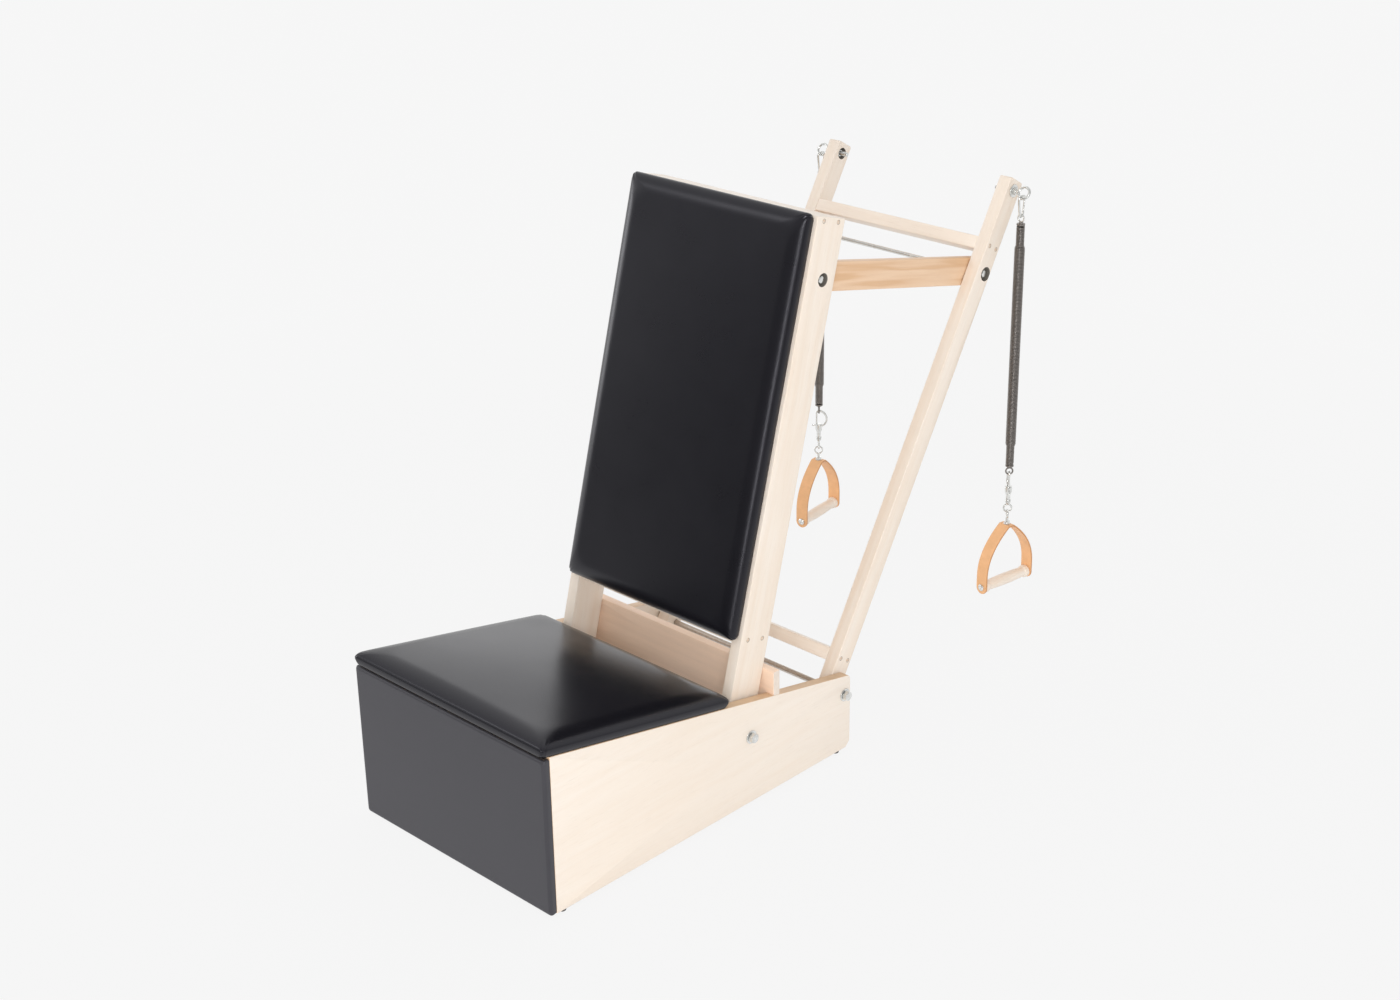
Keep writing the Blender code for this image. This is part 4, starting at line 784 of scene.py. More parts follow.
class ARMCHAIR_OT_panels(Builder, bpy.types.Operator):
    """Two side panels of the base, with their glides"""

    bl_idname = "arm_chair.panels"
    bl_label = "Side panels"

    def execute(self, context):
        front, rear = FRONT_THICK + PLAY, BASE_DEPTH
        outline = [(front, FLOOR_GAP), (rear - PANEL_CORNER, FLOOR_GAP), (rear, FLOOR_GAP + PANEL_CORNER),
                   (rear, PANEL_REAR_TOP), (front, PANEL_FRONT_TOP)]
        outline = eased(outline, [CORNER_EASE, 0.003, 0.003, 0.0125, CORNER_EASE], steps=12)
        glide = [(0, 0), (0.0068, 0), (0.0078, 0.0008), (0.009, 0.0052), (0.0086, FLOOR_GAP), (0, FLOOR_GAP)]
        for side, sign in SIDES:
            middle = sign * (HALF_WIDTH - PANEL_THICK / 2)
            holes = [bore(PIVOT_ROD + PLAY, sign * PANEL_INNER, sign * HALF_WIDTH, at(), *JOINTS[joint].yz)
                     for _, joint in PIVOTS]
            board = slab(outline, PANEL_THICK, BASE @ at(middle) @ YZ)
            piece(f"side_panel_{side}_board", board, f"panel_{side}", "base", cutters=holes)
            feet = [turned(glide, BASE @ at(middle, y)) for y in (0.04, rear - 0.035)]
            piece(f"glides_{side}", joined(*feet), "plastic", "base", f"side_panel_{side}")
        return {"FINISHED"}


class ARMCHAIR_OT_front(Builder, bpy.types.Operator):
    """Padded vinyl cover of the front board"""

    bl_idname = "arm_chair.front"
    bl_label = "Front pad"

    def execute(self, context):
        place = BASE @ at(0, FRONT_THICK, (FLOOR_GAP + FRONT_HEIGHT) / 2) @ XZ
        cushion("front_pad", "front_vinyl_painted_sheen", "base", place, HALF_WIDTH, (FRONT_HEIGHT - FLOOR_GAP) / 2,
                corner=0.004, side=0.0095, thick=FRONT_THICK - 0.0012, lip=0.007, crown=0.0012,
                draw_in=0.0006, pleat=0.0001)
        # The three bare boards stay as the frame gives them and take the plywood
        for node in ("front_board", "seat_board", "back_board"):
            for slot in frame["nodes"][node].material_slots:
                slot.material = finish_of("plywood")
        return {"FINISHED"}


class ARMCHAIR_OT_seat(Builder, bpy.types.Operator):
    """Crowned seat cushion on the base's slope"""

    bl_idname = "arm_chair.seat"
    bl_label = "Seat cushion"

    def execute(self, context):
        s = sizes()
        place = SEAT @ at(0, SEAT_LENGTH / 2 - 0.001, PLAY)
        cushion("seat_cushion", "seat_vinyl", "base", place, HALF_WIDTH + 0.001, SEAT_LENGTH / 2 + 0.001,
                corner=s.corner, side=s.seat_side, thick=SEAT_EDGE, lip=s.seat_lip, crown=s.seat_crown,
                draw_in=0.003, pleat=s.pleat)
        return {"FINISHED"}


class ARMCHAIR_OT_back(Builder, bpy.types.Operator):
    """Back cushion"""

    bl_idname = "arm_chair.back"
    bl_label = "Back cushion"

    def execute(self, context):
        s = sizes()
        low, high = BACK_CUSHION
        place = BACK @ at(0, BACK_EDGES[0] - PLAY, (low + high) / 2) @ XZ
        cushion("back_cushion", "back_vinyl", "backrest", place, BACK_CUSHION_HALF, (high - low) / 2,
                corner=s.corner, side=s.back_side, thick=BACK_CUSHION_THICK - s.back_crown, lip=s.back_lip,
                crown=s.back_crown, draw_in=0.002, pleat=s.pleat)
        return {"FINISHED"}


class ARMCHAIR_OT_stop(Builder, bpy.types.Operator):
    """Upright stop board, its ears cut to the panels' slope"""

    bl_idname = "arm_chair.stop"
    bl_label = "Stop board"

    def execute(self, context):
        inner = PANEL_INNER - 0.0005
        half = [(HALF_WIDTH, STOP_TOP), (HALF_WIDTH, EAR_LOW), (inner, EAR_LOW), (inner, STOP_LOW)]
        outline = eased(half + [(-x, z) for x, z in reversed(half)], CORNER_EASE)
        board = slab(outline, STOP_THICK, BASE @ at(0, STOP_FRONT + STOP_THICK / 2) @ XZ, (0, 0.235))
        beds = []
        for _, sign in SIDES:
            low, high = sorted((sign * (inner - 0.0001), sign * (HALF_WIDTH + 0.01)))
            beds.append(box((low, 0.4, -0.08), (high, 0.9, PLAY), SEAT))
        piece("stop_board_upright", board, "stop", "base", cutters=beds)
        return {"FINISHED"}


def post(name, sign, place, outer, thick, edges, ends, holes, bores, plugs, body, tip):
    """One post with its holes and counterbores, and the plugs over its rail screws."""
    (front, back), (low, high) = edges, ends
    middle, foot_radius = (front + back) / 2, (back - front) / 2
    head = eased([(back, high - 0.05), (back, high), (front, high), (front, high - 0.05)], tip, False, 8)
    outline = np.concatenate([arc((middle, low + foot_radius), foot_radius, 180, 360), head])
    board = slab(outline, thick, place @ at(sign * (outer - thick / 2)) @ YZ, (middle, (low + high) / 2))
    cutters = [bore(r, sign * (outer - thick), sign * outer, place, s, t) for s, t, r in holes]
    cutters += [sunk_bore(r, bed, face, sign, place, s, t) for s, t, r, bed, face in bores]
    cutters += [sunk_bore(PLUG_RADIUS, outer - PLUG_SUNK, outer, sign, place, s, t) for s, t in plugs]
    # The walls of the holes and counterbores take the dark painted shade
    piece(f"{name}_timber", board, name, body, cutters=cutters, painted_wall_shade="bore")
    rim = PLUG_RADIUS - 0.0001
    disc = [(0, 0), (rim, 0), (rim, 0.0003), (PLUG_RADIUS - 0.0004, 0.00042), (0, 0.00045)]
    discs = [turned(disc, place @ at(sign * (outer - PLUG_SUNK), s, t) @ spun(sign * 90, "Y"), 24)
             for s, t in plugs]
    piece(f"{name}_plugs", joined(*discs), "plug", body, "")


def rail(name, place, half_x, edges, t, height, finish, body):
    """A rail across a frame, with eased edges and corners."""
    front, back = edges[0] + RAIL_SETBACK, edges[1] - RAIL_SETBACK
    low, high = t - height / 2, t + height / 2
    outline = eased([(-half_x, low), (half_x, low), (half_x, high), (-half_x, high)], CORNER_EASE)
    shape = slab(outline, back - front, place @ at(0, (front + back) / 2) @ XZ)
    piece(f"{name}_timber", shape, finish, body)


class ARMCHAIR_OT_back_frame(Builder, bpy.types.Operator):
    """Posts and rails of the backrest"""

    bl_idname = "arm_chair.back_frame"
    bl_label = "Backrest frame"

    def execute(self, context):
        holes = [(0, 0, PIVOT_ROD + PLAY), (0, BACK_LINK_T, LINK_ROD + PLAY)]
        bores = [(0, BACK_LINK_T, BACK_BORE, BACK_OUTER - SUNK, BACK_OUTER)]
        for side, sign in SIDES:
            post(f"back_post_{side}", sign, BACK, BACK_OUTER, BACK_THICK, BACK_EDGES, BACK_ENDS, holes, bores,
                 BACK_PLUGS, "backrest", 0.0025)
        for name, t in zip(("back_top_rail", "back_lower_rail"), BACK_RAIL_TS):
            rail(name, BACK, BACK_INNER - PLAY, BACK_EDGES, t, BACK_RAIL, "back_rails", "backrest")
        return {"FINISHED"}


class ARMCHAIR_OT_rear_frame(Builder, bpy.types.Operator):
    """Posts and rungs of the rear frame"""

    bl_idname = "arm_chair.rear_frame"
    bl_label = "Rear frame"

    def execute(self, context):
        holes = [(0, 0, PIVOT_ROD + PLAY), (0, REAR_LINK_T, LINK_ROD + PLAY), (EYE_S, EYE_T, LINK_ROD + PLAY)]
        bores = [(0, REAR_LINK_T, REAR_BORE, REAR_OUTER - SUNK, REAR_OUTER),
                 (EYE_S, EYE_T, EYE_BORE, REAR_INNER + SUNK, REAR_INNER)]
        for side, sign in SIDES:
            post(f"rear_post_{side}", sign, REAR, REAR_OUTER, REAR_THICK, REAR_EDGES, REAR_ENDS, holes, bores,
                 REAR_PLUGS, "rear_frame", 0.0055)
        for name, t in zip(("rear_lower_rail", "rear_top_rail"), REAR_RAIL_TS):
            rail(name, REAR, REAR_INNER - PLAY, REAR_EDGES, t, REAR_RAIL, "rear_rails", "rear_frame")
        return {"FINISHED"}


class ARMCHAIR_OT_links(Builder, bpy.types.Operator):
    """Two flat link bars with round ends"""

    bl_idname = "arm_chair.links"
    bl_label = "Link bars"

    def execute(self, context):
        length, radius = LINK_RUN.length, LINK_HEIGHT / 2
        outline = np.concatenate([arc((0, 0), radius, 90, 270), arc((length, 0), radius, -90, 90)])
        for side, sign in SIDES:
            bar = slab(outline, LINK_THICK, LINKS @ at(sign * (LINK_OUTER - LINK_THICK / 2)) @ YZ)
            holes = [bore(LINK_ROD + play, sign * (LINK_OUTER - LINK_THICK), sign * LINK_OUTER, LINKS, s, 0)
                     for play, s in ((PLAY, 0), (OPEN_PIVOT_PLAY, length))]
            piece(f"link_bar_{side}_timber", bar, f"link_{side}", f"link_{side}", cutters=holes)
        return {"FINISHED"}


class ARMCHAIR_OT_fasteners(Builder, bpy.types.Operator):
    """Pivot bolts, link bolts, and their nuts and washers"""

    bl_idname = "arm_chair.fasteners"
    bl_label = "Bolts, nuts and washers"

    def execute(self, context):
        thick = 0.01
        head = HALF_WIDTH + 2 * PLAY + WASHER_THICK
        end = head + thick + BOLT_PROUD
        inner = PANEL_INNER - 0.001
        for name, joint in PIVOTS:
            axis = upright(JOINTS[joint])
            piece(f"{name}_rod", rod(PIVOT_ROD, -inner, inner, axis), "rod", "base", f"{name}_bolt")
            thread = (-end + 0.001, -end + 0.012, PIVOT_PITCH)
            ends = joined(hexagon(PIVOT_NUT, thick, axis @ at(head + thick / 2)),
                          rod(PIVOT_ROD - 0.0001, inner, head + 0.002, axis),
                          rod(PIVOT_ROD - 0.0001, -inner, -end, axis, thread=thread))
            piece(f"{name}_ends", ends, "zinc", "base", f"{name}_bolt")
            nut = hexagon(PIVOT_NUT, thick, axis @ at(-head - thick / 2), PIVOT_ROD + PLAY)
            piece(f"{name}_hexagon", nut, "zinc", "base", f"{name}_nut")
            for side, sign in SIDES:
                place = axis @ at(sign * (HALF_WIDTH + PLAY + WASHER_THICK / 2))
                disc = washer(PIVOT_WASHER, PIVOT_ROD + PLAY, place)
                piece(f"{name}_washer_{side}_disc", disc, "zinc", "base")
        thick = 0.0075
        for name, place, t, outer, body in (("back_link", BACK, BACK_LINK_T, BACK_OUTER, "backrest"),
                                            ("rear_link", REAR, REAR_LINK_T, REAR_OUTER, "rear_frame")):
            axis = place @ at(0, 0, t)
            bed = outer - SUNK + PLAY
            tip = -bed - thick - BOLT_PROUD
            thread = (tip + 0.001, tip + 0.01, LINK_PITCH)
            bolt = joined(rod(LINK_ROD, tip, bed + 0.002, axis, thread=thread),
                          hexagon(LINK_NUT, thick, axis @ at(bed + thick / 2)))
            piece(f"{name}_bolt_steel", bolt, "zinc", body)
            nut = hexagon(LINK_NUT, thick, axis @ at(-bed - thick / 2), LINK_ROD + PLAY)
            piece(f"{name}_nut_steel", nut, "zinc", body)
        return {"FINISHED"}


class ARMCHAIR_OT_eye_bolts(Builder, bpy.types.Operator):
    """Eye bolts at the top of the rear posts, with their nuts and washers"""

    bl_idname = "arm_chair.eye_bolts"
    bl_label = "Eye bolts"

    def execute(self, context):
        axis = REAR @ at(0, EYE_S, EYE_T)
        thick = 0.0065
        washer_x = REAR_OUTER + PLAY + WASHER_THICK / 2
        nut_x = washer_x + WASHER_THICK / 2 + thick / 2
        tip = REAR_INNER - 0.016
        for side, sign in SIDES:
            thread = (*sorted((sign * (tip + 0.001), sign * (REAR_OUTER - 0.004))), LINK_PITCH)
            parts = joined(rod(LINK_ROD, sign * tip, sign * (SET_X - EYE_RING), axis, thread=thread),
                           wire_ring(EYE_RING, EYE_WIRE, axis @ at(sign * SET_X), 16, 64),
                           washer(EYE_WASHER, LINK_ROD, axis @ at(sign * washer_x)),
                           hexagon(LINK_NUT, thick, axis @ at(sign * nut_x), LINK_ROD - 0.0005))
            piece(f"eye_bolt_{side}_steel", parts, "zinc", "rear_frame")
            sunk = sign * (REAR_INNER + SUNK - PLAY - thick / 2)
            nut = hexagon(LINK_NUT, thick, axis @ at(sunk), LINK_ROD + PLAY)
            piece(f"eye_nut_{side}_steel", nut, "zinc", "rear_frame")
        return {"FINISHED"}


class ARMCHAIR_OT_snap_links(Builder, bpy.types.Operator):
    """Spring snaps between the eye bolts and the springs, with their gates"""

    bl_idname = "arm_chair.snap_links"
    bl_label = "Snap links"

    def execute(self, context):
        body = [(0.01, -0.008), (0.0096, -0.0035), (0.007, -0.0008), (0.0, 0.0), (-0.007, -0.0008),
                (-0.0098, -0.005), (-0.0096, -0.014), (-0.0075, -0.028), (-0.0052, -0.0405), (0.0, -0.045),
                (0.0046, -0.042)]
        foot = np.array([0.0, 0.0062, LINK_LOW + 0.0095])
        tip = np.array([0.0, 0.0098, LINK_TOP - 0.0086])
        way, length = unit(tip - foot), float(np.linalg.norm(tip - foot))
        path = smooth_path([(0.0, y, LINK_TOP + z) for y, z in body] + [tuple(foot - way * 0.0026)])
        lean = math.degrees(math.atan2(way[1], way[2]))
        gate = [(0, -0.0019), (0.0017, -0.0017), (0.0019, 0.0005), (0.0019, length - 0.0022),
                (0.0015, length - 0.0018), (0.0015, length - 0.0008), (0.0019, length - 0.0005),
                (0.0019, length), (0, length)]
        rivet = [(0, -0.0026), (0.0011, -0.0026), (0.0011, 0.0026), (0, 0.0026)]
        for side, _ in SIDES:
            wire = moved(tube(path, LINK_WIRE, (1, 0, 0)), upright(JOINTS[f"set_swing_{side}"]))
            piece(f"snap_link_{side}_wire", wire, "zinc", f"snap_{side}")
            place = leaning(JOINTS[f"gate_{side}"], lean)
            steel = joined(turned(gate, place, 24, 0.0003), turned(rivet, place @ TO_X, 20, 0.0003))
            piece(f"snap_gate_{side}_steel", steel, "zinc", f"gate_{side}")
        return {"FINISHED"}


def coil(turns, length, neck, body, sign, steps=20):
    """Centre line of a close coil that hangs down from zero: radius and angle are (r cos a, sign r
    sin a), with r passing smoothly between the narrow ends and the body."""
    share = np.linspace(0, 1, turns * steps + 1)
    from_end = np.minimum(share, 1 - share) * length
    k = np.clip((from_end - SPRING_NECK) / 0.008 + 0.5, 0, 1)
    radius = neck + (body - neck) * k * k * (3 - 2 * k)
    angle = 2 * math.pi * turns * share
    return np.stack([radius * np.cos(angle), sign * radius * np.sin(angle), -share * length], axis=1)


def end_eye(ring_z, near, far, turn, place):
    """End of a spring: a wire ring, and the round plate that it stands on with its core inside the
    coil."""
    up = 1.0 if ring_z > near else -1.0
    plate = [(0, near + up * 0.0042), (0.0032, near + up * 0.0042), (0.0045, near), (0.0092, near),
             (0.0092, far), (0.0026, far), (0.0026, far - up * 0.012), (0, far - up * 0.012)]
    ring = wire_ring(END_RING, END_WIRE, place @ at(0, 0, ring_z) @ spun(turn, "Z"), 12)
    return ring, turned(plate, place, 40, 0.0007)


class ARMCHAIR_OT_springs(Builder, bpy.types.Operator):
    """Long coil springs and their end eyes"""

    bl_idname = "arm_chair.springs"
    bl_label = "Springs"

    def execute(self, context):
        s = sizes()
        wire = s.spring_wire / 2
        ring_z = LINK_WIRE + END_WIRE + RING_GAP - END_RING
        face = ring_z - END_RING - END_WIRE - 0.002
        low_face = 2 * END_RING + END_WIRE + 0.002
        for side, sign in SIDES:
            sway, foot = JOINTS[f"spring_sway_{side}"], JOINTS[f"hook_swing_{side}"]
            body, end = f"spring_body_{side}", f"spring_foot_{side}"
            ring, plate = end_eye(ring_z, face, face - END_PLATE, 0, upright(sway))
            piece(f"spring_top_eye_{side}_ring", ring, "zinc", body)
            piece(f"spring_top_eye_{side}_plate", plate, "spring", body)
            eye = joined(*end_eye(END_RING, low_face, low_face + END_PLATE, 180 + 45 * sign, upright(foot)))
            piece(f"spring_end_eye_{side}_steel", eye, "spring", end)
            path = coil(s.spring_turns, SPRING_LENGTH - s.spring_wire, s.spring_end / 2 - wire,
                        s.spring_coil / 2 - wire, sign)
            path[:, 2] -= wire
            start = sway + Vector((0, 0, face - END_PLATE - PLAY))
            shape = moved(tube(path, wire, path * (1, 1, 0), 8), upright(start))
            steel = piece(f"spring_{side}_coil", shape, "spring", None, angle=80)
            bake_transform(steel)
        return {"FINISHED"}


class ARMCHAIR_OT_snap_hooks(Builder, bpy.types.Operator):
    """Swivel snaps under the springs: hooked body, thumb bolt and swivelling eye"""

    bl_idname = "arm_chair.snap_hooks"
    bl_label = "Snap hooks"

    def execute(self, context):
        path = [(0.0045, -0.04), (0.0115, -0.0365), (0.017, -0.03), (0.019, -0.0215), (0.0165, -0.012),
                (0.0105, -0.004), (0.003, 0.0), (-0.0024, -0.0004), (-0.0053, -0.0048), (-0.0054, -0.008)]
        path = smooth_path([(u, 0.0, z) for u, z in path])
        thick = np.interp(np.linspace(0, 1, len(path)), [0, 0.25, 0.6, 1], [0.0024, 0.0027, 0.0028, 0.0025])
        top = END_WIRE + HOOK_WIRE + RING_GAP
        barrel = [(0, BARREL_TOP), (0.006, BARREL_TOP), (0.008, BARREL_TOP - 0.002),
                  (0.008, BARREL_TOP - 0.014), (0.0052, BARREL_TOP - 0.022), (0.005, BARREL_LOW + 0.004),
                  (0.0068, BARREL_LOW + 0.003), (0.0068, BARREL_LOW), (0, BARREL_LOW)]
        u, radius = -0.0054, 0.002
        bolt_way = [(0, BARREL_TOP + 0.002), (radius + PLAY, BARREL_TOP + 0.002),
                    (radius + PLAY, BARREL_TOP - 0.02), (0, BARREL_TOP - 0.02)]
        stem_way = [(0, BARREL_LOW + 0.011), (0.0027, BARREL_LOW + 0.011), (0.0027, BARREL_LOW - 0.002),
                    (0, BARREL_LOW - 0.002)]
        pin = [(0, -0.0084), (radius, -0.0088), (radius, BARREL_TOP - 0.011), (0, BARREL_TOP - 0.011)]
        knob = [(0, 0.0125), (0.0026, 0.0125), (0.0026, 0.015), (0.0018, 0.0165), (0, 0.0167)]
        low = top + BARREL_LOW
        ring_z = low - SWIVEL_DROP
        post_end = ring_z + SWIVEL_RING
        swivel = [(0, low + 0.01), (0.0023, low + 0.01), (0.0023, low - 0.0004), (0.0062, low - 0.0004),
                  (0.0062, low - 0.0035), (0.0034, post_end), (0, post_end)]
        for side, sign in SIDES:
            pivot, turn = JOINTS[f"hook_swing_{side}"], 90 + 45 * sign
            place = upright(pivot + Vector((0, 0, top)), turn)
            ways = [turned(bolt_way, place @ at(u), 24),
                    box((-0.012, -0.0017, BARREL_TOP - 0.013), (u, 0.0017, BARREL_TOP - 0.0015), place),
                    turned(stem_way, place, 24)]
            shell = turned(barrel, place, 40, 0.0012)
            piece(f"snap_hook_{side}_barrel", shell, "zinc", f"hook_{side}", cutters=ways)
            wire = moved(tube(path, thick, (0, 1, 0)), place)
            piece(f"snap_hook_{side}_wire", wire, "zinc", f"hook_{side}")
            lever = place @ at(0, 0, BARREL_TOP - 0.0032)
            bolt = joined(turned(pin, place @ at(u), 24, 0.0003), rod(0.0013, u, -0.015, lever, 0.0003, 20),
                          turned(knob, lever @ spun(-90, "Y"), 24, 0.0008))
            piece(f"snap_bolt_{side}_steel", bolt, "zinc", f"thumb_bolt_{side}")
            origin = upright(pivot, turn + 90)
            eye = joined(turned(swivel, origin, 40, 0.0008),
                         wire_ring(SWIVEL_RING, SWIVEL_WIRE, origin @ at(0, 0, ring_z)))
            piece(f"snap_swivel_{side}_steel", eye, "zinc", f"swivel_{side}")
        return {"FINISHED"}


def strap_line(count=60):
    """Middle line of half the strap as (out, down): it leaves the eye bolt flat, swings outwards as
    1 - (1 - k)^2.3 with k the share of the way down, and ends upright."""
    reach = GRIP_LENGTH / 2 + PLAY + STRAP_THICK / 2
    flat, fall = 0.0075, GRIP_DROP - 0.022
    down = np.linspace(0, 1, count) ** 1.5 * fall
    bend = np.stack([flat + (reach - flat) * (1 - (1 - down / fall) ** 2.3), down], axis=1)
    end = GRIP_DROP + STRAP_WIDTH / 2 * np.sin(np.radians(np.linspace(8, 90, 14)))
    down = np.concatenate([np.linspace(GRIP_DROP - 0.01, GRIP_DROP, 6), end])
    leg = np.stack([np.full(len(down), reach), down], axis=1)
    return np.concatenate([[(0.0, 0.0), (0.004, 0.0)], bend, leg])


def strap(place):
    """A flat section with rounded edges carried along the strap's line, and marks of its edges. Past
    the pin its width falls as the square root of 1 - (past / half)^2, which rounds the ends."""
    half, thick = STRAP_WIDTH / 2, STRAP_THICK / 2
    line = strap_line()
    line = np.concatenate([line[:0:-1] * (-1, 1), line])
    tangent = unit(np.gradient(line, axis=0))
    width = np.sqrt(np.clip(1 - (np.clip(line[:, 1] - GRIP_DROP, 0, half) / half) ** 2, 0, 1))
    section = eased([(half, -thick), (half, thick), (-half, thick), (-half, -thick)], 0.0011, True, 5)
    flat = np.linspace(-0.9, 0.9, 12) * half * 0.96
    section = np.concatenate([section[5:10], np.stack([-flat, np.full(12, thick)], 1), section[10:20],
                              np.stack([flat, np.full(12, -thick)], 1), section[:5]])
    out = line[:, 0, None] + tangent[:, 1, None] * section[None, :, 1]
    down = line[:, 1, None] - tangent[:, 0, None] * section[None, :, 1]
    grid = np.stack([section[None, :, 0] * width[:, None], out, -down], axis=-1)
    edge = np.clip((np.abs(section[:, 0]) / half - 0.955) / 0.03, 0, 1)
    tip = np.clip((0.35 - width) / 0.2, 0, 1)
    return moved(skin(grid), place), np.maximum(edge[None], tip[:, None])


class ARMCHAIR_OT_handles(Builder, bpy.types.Operator):
    """Leather strap handles: eye bolt, strap, pin and turned grip"""

    bl_idname = "arm_chair.handles"
    bl_label = "Handles"

    def execute(self, context):
        ring_z = 2 * SWIVEL_WIRE + RING_GAP - SWIVEL_RING
        top = ring_z - STRAP_DROP
        low = top - STRAP_THICK
        half = GRIP_LENGTH / 2
        eye = [(0, ring_z - SWIVEL_RING), (0.0034, ring_z - SWIVEL_RING), (0.0034, top + 0.0075),
               (0.0068, top + 0.007), (0.0068, top + 0.002), (0.0078, top + 0.0018), (0.0078, top + PLAY),
               (0.0032, top + PLAY), (0.0032, low - PLAY), (0.0032, low - 0.0085), (0, low - 0.0085)]
        run = [(0.0125, half), (0.014, half - 0.002), (0.014, half - 0.011), (0.0112, half - 0.0135),
               (0.0122, half - 0.03), (0.013, half - 0.05)]
        run += [(0.0132, 0.0)] + [(r, -z) for r, z in reversed(run)]
        grip = [(GRIP_PIN + PLAY, half)] + run + [(GRIP_PIN + PLAY, -half)]
        reach = half + 2 * PLAY + STRAP_THICK + 0.0001
        head = [(0, reach + 0.0016), (0.0018, reach + 0.0022), (0.0022, reach + 0.0031),
                (0.0058, reach + 0.0031), (0.008, reach + 0.0014), (0.008, reach), (GRIP_PIN, reach)]
        pin = head + [(r, -z) for r, z in reversed(head)]
        for side, sign in SIDES:
            pivot, body, turn = JOINTS[f"handle_swing_{side}"], f"handle_{side}", -sign * HANDLE_TURN
            origin = upright(pivot, 90 + 45 * sign)
            nut_place = origin @ at(0, 0, low - 0.0031) @ TO_X.inverted()
            steel = joined(turned(eye, origin, 40, 0.0006), hexagon(HANDLE_NUT, 0.0056, nut_place, 0.0031),
                           wire_ring(SWIVEL_RING, SWIVEL_WIRE, origin @ at(0, 0, ring_z)))
            piece(f"handle_eye_{side}_steel", steel, "zinc", body)
            shape, marks = strap(upright(pivot + Vector((0, 0, top - STRAP_THICK / 2)), turn))
            piece(f"strap_{side}_leather", shape, "leather", body, angle=50, marks={"strap_edge": marks})
            axis = upright(JOINTS[f"grip_roll_{side}"], turn) @ TO_Y
            piece(f"grip_{side}_timber", turned(grip, axis, 48, 0.0011, True, 5), "grip",
                  f"grip_roller_{side}")
            piece(f"grip_pin_{side}_steel", turned(pin, axis, 32, 0.0005), "zinc", body)
        return {"FINISHED"}


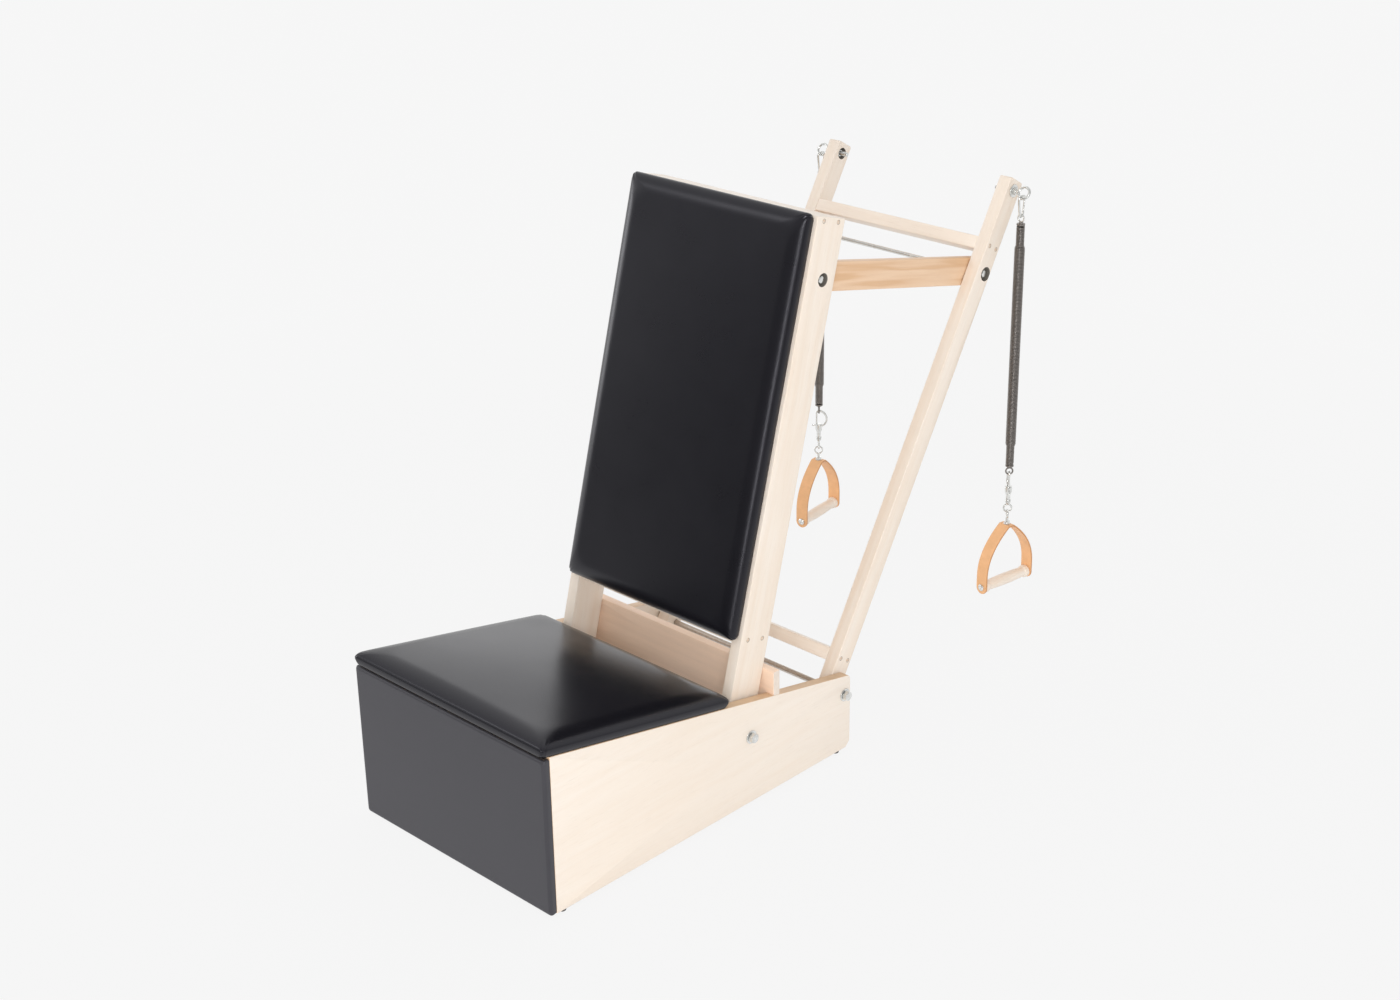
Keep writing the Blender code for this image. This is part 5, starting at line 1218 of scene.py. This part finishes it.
class ARMCHAIR_OT_stage(Builder, bpy.types.Operator):
    """Floor, soft light and the camera at the photograph's angle"""

    bl_idname = "arm_chair.stage"
    bl_label = "Stage"

    def floor(self):
        """A wide flat floor. The camera sees it mostly as the backdrop's colour, with the chair's soft
        shadow, and mirror rays see it darker in front, as the room is there."""
        reach = np.linspace(-30, 30, 13)
        x, y = np.meshgrid(reach, reach, indexing="ij")
        mesh = mesh_of("floor", skin(np.stack([x, y, np.full_like(x, -0.0002)], axis=-1), wrap_columns=False))
        colours = bpy.context.scene.arm_chair_colours
        finish = Finish("pale_floor")
        camera, glossy, mirrored = finish.rays()
        far = finish.node("VectorMath", {"operation": "LENGTH"}, {0: finish.place()}, "Value").clamp(1.8, 3.2)
        ahead = finish.part(finish.place(), 1).clamp(-5.0, -1.5)
        speck = finish.noise(finish.place(), 3.0, 2.0)
        tone = finish.mix(speck * 0.1, colours.ground, shade(colours.ground, 0.97))
        lit = finish.node("BsdfDiffuse", None, {"Color": tone})
        glow = finish.node("Emission", None, {"Color": colours.backdrop,
                                              "Strength": 1 - glossy * (0.94 - ahead * 0.94)})
        share = (camera * (0.95 + far * 0.05)).math("MAXIMUM", mirrored)
        finish.node("OutputMaterial", None, {"Surface": finish.blend(share, lit, glow)}, None)
        mesh.materials.append(finish.material)
        placed("floor", mesh)

    def world(self):
        """Even pale light all round. The camera sees the backdrop's colour, and so do mirror rays,
        except that the room in front of the chair looks darker to them, from the direction's dot
        product with the way back, and more so low down."""
        world = bpy.data.worlds.new("studio")
        bpy.context.scene.world = world
        studio = Finish("studio", world)
        way = studio.node("TexCoord", output="Generated")
        along = {0: way, 1: (-0.69, 0.72, 0.0)}
        back = studio.node("VectorMath", {"operation": "DOT_PRODUCT"}, along, "Value")
        reach = {"Value": back, "From Min": -0.4, "From Max": 0.4, "To Min": 0.08, "To Max": 1.0}
        depth = studio.node("MapRange", {"interpolation_type": "SMOOTHSTEP"}, reach)
        high = studio.part(way, 2).clamp(0.02, 0.32)
        depth = depth + high * (1 - depth) * 0.55
        backdrop = bpy.context.scene.arm_chair_colours.backdrop
        looks = ((1.0, 1.0, 1.0), 0.72), (backdrop, depth), (backdrop, 1.0)
        even, room, seen = (studio.node("Background", None, {"Color": colour, "Strength": strength})
                            for colour, strength in looks)
        camera, _, mirrored = studio.rays()
        light = studio.blend(camera, studio.blend(mirrored, even, room), seen)
        studio.node("OutputWorld", None, {"Surface": light}, None)

    def lamp(self, name, place, aim, power, size):
        """A soft square lamp that looks at a point."""
        data = bpy.data.lights.new(name, "AREA")
        data.energy, data.size = power, size
        obj = placed(name, data)
        obj.location = place
        obj.rotation_euler = (Vector(aim) - Vector(place)).to_track_quat("-Z", "Y").to_euler()

    def camera(self):
        """Camera fitted to the photograph: yaw, pitch and roll in degrees from the level view along
        +Y."""
        yaw, pitch, roll = (math.radians(a) for a in (44.31, 23.75, -0.94))
        right = Vector((math.cos(yaw), math.sin(yaw), 0))
        up = Vector((-math.sin(yaw) * math.sin(pitch), math.cos(yaw) * math.sin(pitch), math.cos(pitch)))
        x_axis = math.cos(roll) * right + math.sin(roll) * up
        y_axis = -math.sin(roll) * right + math.cos(roll) * up
        data = bpy.data.cameras.new("camera")
        data.lens, data.sensor_width = 54.96, 36.0
        obj = placed("camera", data)
        turn = Matrix((x_axis, y_axis, right.cross(up))).transposed().to_4x4()
        obj.matrix_world = at(2.8614, -2.9661, 2.3594) @ turn
        bpy.context.scene.camera = obj

    def execute(self, context):
        self.camera()
        self.floor()
        self.world()
        chair = (0.0, 0.0, 0.6)
        self.lamp("key", (4.4, -4.6, 3.3), chair, 132.0, 1.6)
        self.lamp("strip", (4.3, -6.6, 1.1), chair, 50.0, 1.4)
        self.lamp("side", (6.5, -0.8, 2.4), chair, 15.0, 2.0)
        self.lamp("fill", (-4.2, -4.4, 4.6), chair, 20.0, 1.6)
        self.lamp("left", (-6.0, -1.8, 1.0), chair, 40.0, 2.0)
        self.lamp("rear", (-2.6, 2.9, 1.5), (0.0, -0.4, 0.4), 8.0, 2.4)
        bpy.context.scene.view_settings.view_transform = "Standard"
        return {"FINISHED"}


BUILDERS = (ARMCHAIR_OT_stage, ARMCHAIR_OT_panels, ARMCHAIR_OT_front, ARMCHAIR_OT_seat, ARMCHAIR_OT_stop,
            ARMCHAIR_OT_back_frame, ARMCHAIR_OT_back, ARMCHAIR_OT_rear_frame, ARMCHAIR_OT_links,
            ARMCHAIR_OT_fasteners, ARMCHAIR_OT_eye_bolts, ARMCHAIR_OT_snap_links, ARMCHAIR_OT_springs,
            ARMCHAIR_OT_snap_hooks, ARMCHAIR_OT_handles)


class ARMCHAIR_PT_sidebar(bpy.types.Panel):
    """Settings and pieces of the arm chair"""

    bl_idname = "ARMCHAIR_PT_sidebar"
    bl_label = "Arm Chair"
    bl_space_type = "VIEW_3D"
    bl_region_type = "UI"
    bl_category = "Arm Chair"

    def draw(self, context):
        for group in (context.scene.arm_chair_sizes, context.scene.arm_chair_colours):
            for key in group.__annotations__:
                self.layout.prop(group, key)
        for builder in BUILDERS:
            self.layout.operator(builder.bl_idname)


CLASSES = (ArmChairColours, ArmChairSizes, *BUILDERS, ARMCHAIR_PT_sidebar)


def register():
    """Add the classes and the user's settings."""
    for cls in CLASSES:
        bpy.utils.register_class(cls)
    bpy.types.Scene.arm_chair_colours = PointerProperty(type=ArmChairColours)
    bpy.types.Scene.arm_chair_sizes = PointerProperty(type=ArmChairSizes)


def unregister():
    """Take the classes and the settings away again."""
    del bpy.types.Scene.arm_chair_sizes
    del bpy.types.Scene.arm_chair_colours
    for cls in reversed(CLASSES):
        bpy.utils.unregister_class(cls)


def main():
    register()
    for builder in BUILDERS:
        group, name = builder.bl_idname.split(".")
        getattr(getattr(bpy.ops, group), name)()


if __name__ == "__main__":
    main()
